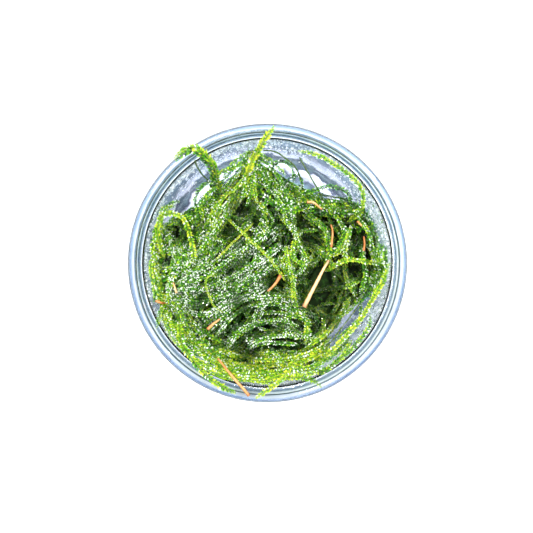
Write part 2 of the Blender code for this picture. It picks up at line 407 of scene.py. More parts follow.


# Painted reflection: the rim's rings are coloured dark slate, pale and blue, as the rim shows its
# surroundings bent and reflected: (distance from the axis in mm, colour).
RIM_PAINTED_BANDS = [
    (38.4, (0.80, 0.80, 0.88)),
    (40.2, (0.86, 0.84, 0.86)),
    (40.45, (1.0, 1.0, 1.0)),
    (40.6, (0.60, 0.70, 0.80)),
    (40.72, (0.12, 0.18, 0.26)),
    (41.05, (0.10, 0.16, 0.24)),
    (41.25, (0.16, 0.24, 0.33)),
    (41.38, (0.85, 0.88, 0.92)),
    (41.5, (1.0, 1.0, 1.0)),
    (42.9, (1.0, 1.0, 1.0)),
    (43.25, (0.26, 0.38, 0.68)),
    (43.7, (0.16, 0.26, 0.50)),
    (44.1, (0.21, 0.28, 0.40)),
    (44.4, (0.16, 0.18, 0.19)),
    (44.7, (0.62, 0.55, 0.52)),
    (45.0, (1.0, 1.0, 1.0)),
]


RIBS = 420.0  # round the rim
RIB_SLANT = 5.0
RIBBED_EDGE = 44.2  # outwards from here the ribs are straight
RIBBED_LEDGE = (40.2, 41.1)
LEAVING = (0.94, 0.97, 0.98, 1.0)


def plastic_material():
    made, tree, shader = clear_material("clear_sheet", (0.90, 0.95, 0.98), 1.49, 0.02, 0.16, 0.05)
    flat = vectors(tree, "MULTIPLY", own_place(tree), (1.0 / MM, 1.0 / MM, 0.0))
    out_from_axis = length_of(tree, flat)
    rings = ring_colours(tree, out_from_axis, RIM_PAINTED_BANDS)
    # The painted bands colour light on its way in, and on its way out the sheet is plain.
    leaving = node(tree, "ShaderNodeNewGeometry").outputs["Backfacing"]
    tree.links.new(mixed(tree, leaving, rings, LEAVING), shader["Base Color"])
    # Fine grip ribs: straight ones on the rim's outer edge, and slanted ones on the ledge.
    across = node(tree, "ShaderNodeSeparateXYZ", (flat,)).outputs
    bearing = maths(tree, "ARCTAN2", across[1], across[0])
    slant = times(tree, out_from_axis, RIB_SLANT)
    straight_ribs = maths(tree, "SINE", times(tree, bearing, RIBS))
    slanted_ribs = maths(tree, "SINE", maths(tree, "MULTIPLY_ADD", bearing, RIBS, slant))
    on_edge = maths(tree, "GREATER_THAN", out_from_axis, RIBBED_EDGE)
    past_inner = maths(tree, "GREATER_THAN", out_from_axis, RIBBED_LEDGE[0])
    on_ledge = times(tree, past_inner, maths(tree, "LESS_THAN", out_from_axis, RIBBED_LEDGE[1]))
    ribs = maths(tree, "ADD", times(tree, straight_ribs, on_edge), times(tree, slanted_ribs, on_ledge))
    rubbed = shader["Normal"].links[0].from_socket
    relief = {"Strength": 0.5, "Distance": 0.06 * MM, "Height": ribs, "Normal": rubbed}
    tree.links.new(shader_node(tree, "Bump", relief), shader["Normal"])
    return made


def misted_material():
    made, tree, shader = clear_material("misted_water", (0.96, 0.98, 0.97), WATER_IOR, 0.25, 0.3, 0.0)
    shader["Transmission Weight"].default_value = 0.55
    # Painted light: the drops' colour is speckled by noise from dark grey to white, for the dark edges and
    # bright highlights that real drops show by bending light; the white is partly the milk of mist.
    glint_speckle = noisy(tree, own_place(tree), 900.0, 1.0)
    stops = [(0.42, (0.22, 0.27, 0.31)), (0.5, (0.66, 0.72, 0.72)), (0.56, (1.0, 1.0, 0.98))]
    tree.links.new(ramp(tree, glint_speckle, stops), shader["Base Color"])
    return made


clear_plastic = plastic_material()
water = clear_material("water", (0.98, 1.0, 1.0), WATER_IOR, 0.0, 0.04, 0.0)[0]
misted = misted_material()
print("clear materials:", clear_plastic.name, water.name)


# %% [markdown]
# ## The cup
# A cup like this is drawn from a warm sheet, so its wall has one thickness and its section is one
# line: a raised floor, a foot ring, a plain wall, a ledge and a rolled rim. The line is turned
# round the axis with a Screw modifier and given its wall with Solidify. The solid model uses 56
# sides; here there are enough that no corner shows in the rim.

# %% Draw the section and turn it
WALL = 0.5
MOUTH_RADIUS = 39.9
BASE_RADIUS = 36.2
LEDGE_BELOW_RIM = 4.4
FOOT_RING = (31.7, 34.2)
PANEL_RISE = 1.2
CUP_SIDES = 240
# The ledge as steps out from the mouth and up from where the wall ends.
LEDGE_STEPS = [
    (-0.05, -0.6), (0.0, 0.0), (0.05, 0.42), (0.2, 0.6), (0.85, 0.76), (1.02, 0.85), (1.1, 1.1), (1.4, 2.7),
]


def arc(centre, radius, start, end, steps):
    angles = [math.radians(start + (end - start) * i / steps) for i in range(steps + 1)]
    return [(centre[0] + radius * math.cos(a), centre[1] + radius * math.sin(a)) for a in angles]


def cup_section():
    inner, outer = FOOT_RING
    panel = PANEL_RISE + WALL
    line = [(0.0, panel), (inner - 6.0, panel), (inner - 1.4, panel), (inner - 1.1, panel - 0.15)]
    line += [(inner - 0.5, WALL + 0.15), (inner - 0.2, WALL)]
    line += arc((outer, WALL + 2.0), 2.0, -90, -4, 8)
    line += [(MOUTH_RADIUS + out, CUP_HEIGHT - LEDGE_BELOW_RIM + up) for out, up in LEDGE_STEPS]
    line += arc((RIM_RADIUS - 1.95, CUP_HEIGHT - 1.5), 1.5, 170, 12, 14)
    line += [(RIM_RADIUS - 0.25, CUP_HEIGHT - 2.6), (RIM_RADIUS, CUP_HEIGHT - 3.8)]
    return line


def finished(name, mesh, body="root"):
    """Makes a mesh an object of the scene, at the origin, that rides on its body."""
    made = linked(name, mesh)
    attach(made, body)
    return made


def applied(helper):
    """The helper object's evaluated shape as a plain mesh. The helper is removed."""
    bpy.context.view_layer.update()
    ready = helper.evaluated_get(bpy.context.evaluated_depsgraph_get())
    mesh = bpy.data.meshes.new_from_object(ready)
    mesh.name = helper.name
    bpy.data.objects.remove(helper, do_unlink=True)
    return mesh


def chain_mesh(name, points):
    """Points joined one after another by edges."""
    mesh = bpy.data.meshes.new(name)
    mesh.from_pydata(points, [(i, i + 1) for i in range(len(points) - 1)], [])
    return mesh


def turned(name, line, sides, wall):
    """A line of (radius, height) turned round the axis, with a wall of its own if that isn't 0."""
    helper = linked(name, chain_mesh(name, [(r * MM, 0.0, z * MM) for r, z in line]))
    turn = helper.modifiers.new("turn", "SCREW")
    turn.steps = turn.render_steps = sides
    turn.use_merge_vertices = True
    turn.merge_threshold = 0.00001
    if wall:
        shell = helper.modifiers.new("wall", "SOLIDIFY")
        shell.thickness = wall * MM
        shell.offset = -1.0
        shell.use_even_offset = True
        round_hem = helper.modifiers.new("round_hem", "BEVEL")
        round_hem.width = 0.2 * MM
        round_hem.segments = 2
        round_hem.limit_method = "ANGLE"
        round_hem.angle_limit = math.radians(50)
    return applied(helper)


cup_mesh = turned("clear_cup", cup_section(), CUP_SIDES, WALL)
cup_mesh.shade_smooth()
cup_mesh.set_sharp_from_angle(angle=math.radians(35))
cup_mesh.materials.clear()
cup_mesh.materials.append(clear_plastic)
cup = finished("clear_cup", cup_mesh)
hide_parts("cup")
print("cup faces:", len(cup_mesh.polygons))

# %% [markdown]
# ## Floor and light
# A pale floor and a large soft lamp show the moss as it is. A smaller lamp from the side gives the
# wet leaves their specks and opens the dark gaps. Clear plastic shows only what it reflects and
# bends, so the surroundings are a little darker and bluer to the cup than to the camera.

# %% Floor, lamps and surroundings
FLOOR_REACH = 4.0  # metres to each side
PALE = (0.92, 0.92, 0.92, 1.0)
# What the plastic shows, seen only through it: pale under the cup's floor, slate under its edge,
# partly the table's own colour and partly painted shadow of the cup, and pale blue further out.
UNDER_THE_CUP = [
    (0.0, (0.46, 0.46, 0.52)),
    (24.0, (0.30, 0.34, 0.38)),
    (27.0, (0.09, 0.13, 0.16)),
    (29.2, (0.20, 0.28, 0.32)),
    (31.0, (0.05, 0.06, 0.09)),
    (32.4, (0.80, 0.75, 0.85)),
    (33.8, (0.95, 0.90, 1.0)),
    (34.6, (0.05, 0.05, 0.09)),
    (36.0, (0.14, 0.20, 0.24)),
    (37.0, (0.03, 0.05, 0.07)),
    (38.5, (0.20, 0.27, 0.30)),
    (40.0, (0.04, 0.07, 0.10)),
    (42.0, (0.14, 0.22, 0.30)),
    (43.5, (0.10, 0.17, 0.28)),
    (45.0, (0.30, 0.40, 0.50)),
    (46.6, (0.74, 0.80, 0.86)),
    (60.0, (0.70, 0.76, 0.82)),
]
floor_mesh = bpy.data.meshes.new("floor")
corners = [(x * FLOOR_REACH, y * FLOOR_REACH, 0.0) for x, y in ((-1, -1), (1, -1), (1, 1), (-1, 1))]
floor_mesh.from_pydata(corners, [], [(0, 1, 2, 3)])
floor_material, tree, shader = new_material("pale_floor")
straight = node(tree, "ShaderNodeLightPath").outputs["Is Camera Ray"]
place = own_place(tree)
from_axis = length_of(tree, scaled(tree, place, 1.0 / MM))
ripples = noisy(tree, place, 230.0, 3.0)
wavering = maths(tree, "MULTIPLY_ADD", minus(tree, ripples, 0.5), 6.0, from_axis)
shown = ring_colours(tree, wavering, UNDER_THE_CUP)
tree.links.new(mixed(tree, straight, shown, PALE), shader["Base Color"])
tree.links.new(straight, shader["Emission Color"])
shader["Emission Strength"].default_value = 0.5
shader["Roughness"].default_value = 0.7
floor_mesh.materials.append(floor_material)
floor = linked("floor", floor_mesh)
floor.location.z = cad_box[0].z - 0.05 * MM
floor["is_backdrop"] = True


LIT_PLACE = Vector((0, 0, 0.04))


def lamp(name, place, size, watts, colour):
    data = bpy.data.lights.new(name, "AREA")
    data.shape = "DISK"
    data.size = size
    data.energy = watts
    data.color = colour
    made = linked(name, data)
    made.location = place
    made.rotation_mode = "QUATERNION"
    made.rotation_quaternion = (LIT_PLACE - Vector(place)).to_track_quat("-Z", "Y")


lamp("soft_key", (-0.35, 0.45, 0.95), 0.5, 13.4, (1.0, 0.99, 0.96))
lamp("small_side", (0.45, 0.30, 0.85), 0.07, 9.2, (1.0, 0.97, 0.9))
lamp("soft_fill", (0.2, -0.9, 0.8), 0.7, 4.6, (0.93, 0.97, 1.0))

world = bpy.data.worlds.new("studio")
world.use_nodes = True
tree = world.node_tree
seen = shader_node(tree, "Background", ((1.0, 1.0, 1.0, 1.0), 1.0))
# Walls of the room, near the horizon, are brighter than its ceiling.
direction = node(tree, "ShaderNodeTexCoord").outputs["Generated"]
height = maths(tree, "ABSOLUTE", node(tree, "ShaderNodeSeparateXYZ", (direction,)).outputs[2])
strength = spread(tree, height, 0.2, 0.6, 0.8, 0.36)
around = shader_node(tree, "Background", ((0.58, 0.66, 0.78, 1.0), strength))
straight = node(tree, "ShaderNodeLightPath").outputs["Is Camera Ray"]
surface = shader_node(tree, "MixShader", (straight, around, seen))
tree.links.new(surface, tree.nodes["World Output"].inputs["Surface"])
bpy.context.scene.world = world
bpy.context.scene.view_settings.view_transform = "Standard"

# %% [markdown]
# ## Drops on the wall
# Wet moss in a closed cup breathes out water, which gathers on the cold wall as fine drops. They
# are real small lenses here, flattened on the wall and scattered by Geometry Nodes over bands of it.
# Most are fine, and a few are much bigger, as where several have run together.


# %% A tree that scatters drops on a surface
def drop_tree():
    tree, given, out = new_group(
        "scatter_drops",
        "GeometryNodeTree",
        [("Wall", "Geometry", None), ("Per square metre", "Float", 1.0e6), ("Between patches", "Float", 0.3),
         ("Smallest", "Float", 0.1 * MM), ("Largest", "Float", 0.5 * MM), ("Seed", "Int", 1),
         ("Roundness", "Int", 1), ("Finish", "Material", None)],
        [("Drops", "Geometry")],
    )
    patches = noisy(tree, geometry_node(tree, "InputPosition"), 110.0, 1.0)
    gathered = spread(tree, patches, 0.46, 0.55, given["Between patches"], 1.5)
    density = times(tree, given["Per square metre"], gathered)
    on_wall = {"Mesh": given["Wall"], "Density": density, "Seed": given["Seed"]}
    spots = node(tree, "GeometryNodeDistributePointsOnFaces", on_wall).outputs
    chance = node(tree, "FunctionNodeRandomValue", {"Seed": given["Seed"]}).outputs["Value"]
    rare = maths(tree, "POWER", chance, 4.0)
    size = spread(tree, rare, 0.0, 1.0, given["Smallest"], given["Largest"])
    ball = geometry_node(tree, "MeshIcoSphere", {"Radius": 1.0, "Subdivisions": given["Roundness"]})
    squash = shader_node(tree, "CombineXYZ", (size, times(tree, size, 1.15), times(tree, size, 0.55)))
    drops = geometry_node(tree, "InstanceOnPoints", {
        "Points": spots["Points"], "Instance": ball, "Rotation": spots["Rotation"], "Scale": squash})
    # A drop's own Z points away from the wall: moved by its half thickness, it sits on the wall.
    moved = {"Instances": drops, "Translation": (0.0, 0.0, 0.95), "Local Space": True}
    seated = geometry_node(tree, "TranslateInstances", moved)
    real = geometry_node(tree, "RealizeInstances", {"Geometry": seated})
    smooth = geometry_node(tree, "SetShadeSmooth", {"Geometry": real})
    named = geometry_node(tree, "SetMaterial", {"Geometry": smooth, "Material": given["Finish"]})
    tree.links.new(named, out["Drops"])
    return tree


def run_tree(name, mesh, tree, **values):
    """Runs a Geometry Nodes tree on a mesh and gives back the plain mesh that it makes."""
    helper = linked(name, mesh)
    modifier = helper.modifiers.new(name, "NODES")
    modifier.node_group = tree
    sockets = [item for item in tree.interface.items_tree if item.in_out == "INPUT"]
    keys = {item.name.replace(" ", "_"): item.identifier for item in sockets}
    for label, value in values.items():
        modifier[keys[label]] = value
    return applied(helper)


def wall_inside(z):
    return BASE_RADIUS + (MOUTH_RADIUS - BASE_RADIUS) * z / (CUP_HEIGHT - LEDGE_BELOW_RIM)


DROP_GAP = 0.06  # from the drops to the wall, in millimetres
BAND_SIDES = 96


def wall_band(low, high):
    """An open band just inside the wall, its faces towards the axis."""
    heights = [low + (high - low) * i / 6 for i in range(7)]
    mesh = turned("band", [(wall_inside(z) - DROP_GAP, z) for z in heights], BAND_SIDES, 0)
    towards_axis = mesh.polygons[0].normal.dot(mesh.polygons[0].center) < 0
    if not towards_axis:
        mesh.flip_normals()
    return mesh


scatter = drop_tree()
# (name, band, drops per square metre, share between patches, smallest, largest, seed, roundness, finish)
DROPS = [
    ("fine_drops", wall_band(43.2, 47.2), 1.1e6, 0.5, 0.16, 0.46, 3, 1, misted),
    ("patchy_drops", wall_band(28.0, 43.2), 0.55e6, 0.02, 0.2, 0.55, 19, 1, misted),
    ("large_drops", wall_band(18.0, 46.6), 0.10e6, 0.3, 0.40, 0.9, 8, 2, water),
    ("foam", wall_band(34.0, 46.4), 0.24e6, 0.05, 0.3, 0.65, 15, 2, water),
    ("low_drops", wall_band(4.0, 28.0), 0.08e6, 0.2, 0.16, 0.42, 5, 1, misted),
]
for name, band, density, bare, small, large, seed, roundness, finish in DROPS:
    mesh = run_tree(name, band, scatter, Per_square_metre=density, Between_patches=bare, Smallest=small * MM,
                    Largest=large * MM, Seed=seed, Roundness=roundness, Finish=finish)
    drops = finished(name, mesh)
    print(name, len(mesh.polygons), "faces")

# %% [markdown]
# ## The heart of the tangle
# Between the strands only darkness shows. The heart is the solid model's own shape, drawn in by a
# few millimetres and made lumpy, so that nothing shines through the clump. Its near-black colour is
# painted shade: moss deep in a clump is green, and only dark because little light gets in.

# %% Shrink and crease the heart
cad_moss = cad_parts["moss_mass"]
heart_form = bmesh.new()
heart_form.from_mesh(cad_moss.data)
bmesh.ops.remove_doubles(heart_form, verts=heart_form.verts, dist=0.001 * MM)
moss_tree = BVHTree.FromPolygons(
    [v.co / MM for v in heart_form.verts], [[v.index for v in f.verts] for f in heart_form.faces]
)
bmesh.ops.subdivide_edges(heart_form, edges=heart_form.edges, cuts=1, use_grid_fill=True)
heart_form.normal_update()
HEART_DEPTH = 6.0
LUMP_HEIGHT = 1.1
moved = []
for vertex in heart_form.verts:
    lump = noise(vertex.co / (6.0 * MM)) + 0.5 * noise(vertex.co / (2.5 * MM))
    moved.append(vertex.co - vertex.normal * (HEART_DEPTH - LUMP_HEIGHT * lump) * MM)
for vertex, new_place in zip(heart_form.verts, moved):
    vertex.co = new_place
heart_mesh = bpy.data.meshes.new("dark_heart")
heart_form.to_mesh(heart_mesh)
heart_form.free()
heart_mesh.materials.append(dark_heart)
heart_mesh.shade_smooth()
heart = finished("moss_heart", heart_mesh)
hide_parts("moss_mass")
print("heart faces:", len(heart_mesh.polygons))

# %% [markdown]
# ## One leaf and one strand
# A leaf of this moss is a small pointed blade, folded a little along its middle. Four triangles
# hold that shape. A strand is a thin stem with a leaf to the left, then one to the right, all
# leaning forwards, smaller towards the tip. Geometry Nodes lays the leaves along any number of
# routes at once.

# %% The leaf
LEAF_POINTS = [(0, 0, 0), (0, 0.48, -0.04), (-0.21, 0.46, 0.05), (0.21, 0.46, 0.05), (0, 1.0, 0.03)]
LEAF_FACES = [(0, 1, 2), (0, 3, 1), (2, 1, 4), (1, 3, 4)]
leaf_mesh = bpy.data.meshes.new("leaf_pattern")
leaf_mesh.from_pydata(LEAF_POINTS, [], LEAF_FACES)


def store(mesh, label, values):
    """Keeps one number for each point of a mesh, under a name."""
    mesh.attributes.new(label, "FLOAT", "POINT").data.foreach_set("value", values)


store(leaf_mesh, "along", [y for _, y, _ in LEAF_POINTS])
leaf_pattern = linked("leaf_pattern", leaf_mesh)


# %% The tree that grows leaves along routes
def strand_tree():
    tree, given, out = new_group(
        "leafy_strand",
        "GeometryNodeTree",
        [("Routes", "Geometry", None), ("Leaf", "Object", None), ("Leaf length", "Float", 1.3 * MM),
         ("Leaf spacing", "Float", 0.25 * MM), ("Lean", "Float", 0.85), ("Stem radius", "Float", 0.13 * MM),
         ("Stem step", "Float", 1.2 * MM), ("Seed", "Int", 1), ("Leaf finish", "Material", None),
         ("Stem finish", "Material", None)],
        [("Strands", "Geometry")],
    )

    def named(label, kind):
        return geometry_node(tree, "InputNamedAttribute", {"Name": label}, data_type=kind)

    def chance(low, high, offset):
        seed = maths(tree, "ADD", given["Seed"], float(offset))
        return node(tree, "FunctionNodeRandomValue", {2: low, 3: high, "Seed": seed}).outputs[1]

    def sampled(length):
        return geometry_node(tree, "ResampleCurve", {"Curve": line, "Length": length}, mode="LENGTH")

    def crossed(first, second):
        return vectors(tree, "NORMALIZE", vectors(tree, "CROSS_PRODUCT", first, second))

    line = geometry_node(tree, "MeshToCurve", {"Mesh": given["Routes"]})
    tangent = geometry_node(tree, "InputTangent")
    sideways = crossed(tangent, named("facing", "FLOAT_VECTOR"))
    flat = crossed(sideways, tangent)
    # Every other leaf is on the left.
    index = geometry_node(tree, "InputIndex")
    side = maths(tree, "MULTIPLY_ADD", maths(tree, "MODULO", index, 2.0), 2.0, -1.0)
    lean = maths(tree, "ADD", given["Lean"], chance(-0.25, 0.25, 1))
    outwards = scaled(tree, sideways, times(tree, side, maths(tree, "SINE", lean)))
    forwards = scaled(tree, tangent, maths(tree, "COSINE", lean))
    lifted = scaled(tree, flat, chance(-0.3, 0.45, 2))
    pointing = vectors(tree, "ADD", vectors(tree, "ADD", outwards, forwards), lifted)
    tilted = vectors(tree, "ADD", flat, scaled(tree, sideways, chance(-0.5, 0.5, 3)))
    axes = {"primary_axis": "Y", "secondary_axis": "Z"}
    rotation = node(tree, "FunctionNodeAxesToRotation", (pointing, tilted), **axes).outputs[0]
    # Leaves are smaller at the tip and at the root.
    width = named("width", "FLOAT")
    factor = node(tree, "GeometryNodeSplineParameter").outputs["Factor"]
    tip = spread(tree, factor, 0.85, 1.0, 1.0, 0.35)
    root = spread(tree, factor, 0.0, 0.06, 0.5, 1.0)
    grown = times(tree, times(tree, tip, root), width)
    length = times(tree, times(tree, grown, given["Leaf length"]), chance(0.75, 1.2, 4))
    pattern = node(tree, "GeometryNodeObjectInfo", {"Object": given["Leaf"]}).outputs["Geometry"]
    spots = sampled(given["Leaf spacing"])
    laid = {"Points": spots, "Instance": pattern, "Rotation": rotation, "Scale": length}
    leaves = geometry_node(tree, "InstanceOnPoints", laid)
    own = {"Geometry": leaves, "Name": "own", "Value": chance(0.0, 1.0, 5)}
    marked = geometry_node(tree, "StoreNamedAttribute", own, data_type="FLOAT", domain="INSTANCE")
    real = geometry_node(tree, "RealizeInstances", {"Geometry": marked})
    leafy = geometry_node(tree, "SetMaterial", {"Geometry": real, "Material": given["Leaf finish"]})

    ring = geometry_node(tree, "CurvePrimitiveCircle", {"Resolution": 3, "Radius": given["Stem radius"]})
    thin = times(tree, spread(tree, factor, 0.5, 1.0, 1.0, 0.4), width)
    swept = {"Curve": sampled(given["Stem step"]), "Profile Curve": ring, "Scale": thin}
    stem = geometry_node(tree, "CurveToMesh", swept)
    stem = geometry_node(tree, "SetMaterial", {"Geometry": stem, "Material": given["Stem finish"]})
    both = node(tree, "GeometryNodeJoinGeometry", (leafy,))
    tree.links.new(stem, both.inputs[0])
    tree.links.new(both.outputs[0], out["Strands"])
    return tree


leafy_strand = strand_tree()

# %% [markdown]
# ## Where the strands run
# A handful of moss is not random. The stems were combed by water and by the hand that packed them,
# so neighbours run side by side and turn together. Short guide lines, drawn over the top, say how
# it flows: a fan that spreads from the back, a combed mass that sweeps to the left, arcs
# at the front, loose loops on the right, and stems pressed along the rim.

# %% Guide lines over the top, in millimetres
# Each guide is (tone, wetness that sets the share of painted glints, how many strands follow it,
# how far they stray, route).
GUIDES = [
    (0.62, 0.25, 4, 1.6, [(-5.1, 31), (-9, 27.1), (-13.4, 22.2), (-17.3, 17.3), (-20.8, 11.4)]),
    (0.50, 0.30, 5, 1.8, [
        (-4.1, 31), (-6.1, 26.1), (-9, 20.2), (-13.9, 13.3), (-19.8, 6.5), (-25.7, -0.4)]),
    (0.45, 0.30, 5, 1.8, [(-2.1, 31), (-0.2, 26.6), (2.8, 22.2), (5.2, 17.3), (6.7, 11.4)]),
    (0.40, 0.30, 4, 1.5, [(-1.1, 32), (2.8, 28.5), (5.7, 24.1), (7.7, 18.7), (8.7, 13.3)]),
    (0.48, 0.25, 4, 1.5, [(-0.2, 31), (4.7, 28.5), (9.7, 24.6), (13.6, 20.7), (17.5, 17.3)]),
    (0.60, 0.15, 2, 0.8, [(-16.4, 26.6), (-13.4, 28.5), (-10, 30), (-5.1, 31)]),
    (0.35, 0.15, 2, 0.8, [(-16.9, 26.1), (-20.8, 24.6), (-23, 21.7), (-21.8, 18.7), (-23.2, 13.3)]),
    (0.42, 0.25, 3, 1.2, [(5.7, 26.1), (11.6, 24.1), (17.5, 22.7), (23.4, 22.7), (28.3, 19.7), (30.8, 15.8)]),
    (0.42, 0.60, 8, 2.4, [(-3.1, 18.2), (-8, 11.4), (-14.9, 5.5), (-20.8, -0.4), (-26.7, -5.3)]),
    (0.40, 0.70, 8, 2.4, [(1.8, 12.3), (-5.1, 6.5), (-12.9, 0.6), (-19.8, -4.3), (-28.6, -7.3)]),
    (0.38, 0.70, 8, 2.4, [(3.8, 6.5), (-3.1, 0.6), (-11, -4.3), (-19.8, -8.3), (-29.6, -9.3)]),
    (0.34, 0.75, 8, 2.2, [(3.8, 0.6), (-3.1, -4.3), (-11.9, -9.3), (-20.8, -12.7), (-30.6, -12.2)]),
    (0.34, 0.70, 6, 2.2, [(2.8, -5.3), (-5.1, -9.3), (-12.9, -13.2), (-19.8, -17.1), (-27.7, -16.1)]),
    (0.45, 0.60, 7, 2.4, [(-11.9, 19.2), (-15.9, 12.3), (-20.8, 5.5), (-25.7, -0.4), (-30.6, -4.3)]),
    (0.42, 0.60, 7, 2.4, [(-5.1, 14.3), (-11, 8.4), (-17.8, 2.5), (-24.7, -3.4), (-30.6, -7.3)]),
    (0.44, 0.65, 7, 2, [(10.6, -21), (3.8, -18.6), (-3.1, -19.1), (-9, -22), (-12.9, -27.9)]),
    (0.38, 0.65, 7, 2, [(9.7, -16.1), (2.8, -13.7), (-5.1, -14.2), (-11, -17.1), (-16.9, -24)]),
    (0.48, 0.45, 6, 2, [(11.6, -25), (5.7, -24), (-0.2, -24.5), (-5.1, -26.9), (-8, -31.8)]),
    (0.40, 0.55, 6, 2, [(5.7, -11.2), (-2.1, -11.2), (-9, -13.2), (-14.9, -18.1), (-21.8, -25)]),
    (0.50, 0.35, 5, 1.6, [(-32.6, 8.4), (-30.6, 2.5), (-31.6, -3.4), (-32.6, -10.2), (-30.6, -17.1)]),
    (0.46, 0.40, 5, 1.8, [(-25.7, 12.3), (-25.7, 6.5), (-27.7, 0.6), (-30.6, -5.3), (-32.6, -11.2)]),
    (0.50, 0.35, 5, 1.6, [(-30.6, -11.2), (-27.7, -18.1), (-24.7, -24), (-19.8, -29.9), (-13.9, -33.8)]),
    (0.78, 0.20, 3, 0.8, [
        (-28.6, -21), (-22.8, -28.4), (-15.9, -32.8), (-9, -35.3), (0.8, -35.8), (10.6, -34.3)]),
    (0.72, 0.20, 4, 1.2, [
        (-22.8, -26.9), (-18.8, -29.9), (-13.4, -32.3), (-7.5, -33.8), (-2.1, -34.3), (7.7, -32.8)]),
    (0.66, 0.25, 5, 1.4, [
        (-15.9, -27.9), (-8, -30.9), (-0.2, -31.8), (7.7, -31.4), (15.5, -28.9), (21.4, -25)]),
    (0.74, 0.20, 3, 0.9, [
        (33.2, -13.2), (30.3, -19.1), (24.9, -24.5), (19, -28.9), (12.6, -32.3), (3.8, -34.8)]),
    (0.60, 0.25, 4, 1.6, [(27.3, -11.2), (23.4, -18.1), (18.5, -24), (12.6, -27.9)]),
    (0.62, 0.25, 3, 0.7, [
        (6.2, 5.5), (6.7, -0.4), (8.2, -5.3), (8.7, -10.2), (10.1, -16.1), (12.6, -19.1), (12.6, -26.9)]),
    (0.58, 0.25, 2, 0.6, [(16, 10.4), (11.6, 10.4), (8.7, 6.9), (8.3, 2), (11.6, -0.4), (15.1, 1.1)]),
    (0.55, 0.25, 3, 1, [(19.5, 17.7), (23.4, 14.3), (24.9, 9.4), (22.9, 4.5), (19, 2)]),
    (0.66, 0.25, 2, 0.8, [(27.3, 11.9), (25.9, 5.5), (25.4, -0.4), (26.3, -6.3), (28.8, -11.2)]),
    (0.48, 0.30, 4, 1.2, [(29.3, 15.3), (33.2, 10.4), (34.7, 4.5), (35.2, -1.4)]),
    (0.50, 0.30, 3, 1, [(12.6, -9.8), (18.5, -9.3), (24.9, -8.3), (30.3, -6.3)]),
    (0.52, 0.30, 3, 1.2, [(15.5, -15.2), (20.5, -18.1), (26.3, -16.1), (31.3, -11.2)]),
    (0.48, 0.25, 4, 1.4, [(9.7, 21.2), (15.5, 19.2), (21.4, 17.3), (27.3, 16.3), (30.3, 17.3)]),
    (0.46, 0.35, 4, 1.3, [(4.7, 14.3), (8.7, 10.4), (10.6, 5.5), (12.6, 0.6), (10.6, -4.3)]),
    (0.50, 0.30, 3, 1.2, [(11.6, 17.3), (16.5, 13.3), (19.5, 9.4), (20.5, 3.5), (18.5, -2.4)]),
    (0.44, 0.35, 3, 1, [(30.3, 8.4), (31.3, 2.5), (32.2, -4.3), (30.3, -10.2)]),
    (0.50, 0.30, 3, 1, [(14.6, 5.5), (18.5, 2.5), (21.4, -2.4), (22.4, -8.3), (19.5, -13.2)]),
    (0.70, 0.10, 1, 0.2, [(-10, 20.7), (-6.1, 21.7), (-2.6, 19.2), (0.3, 15.8)]),
]
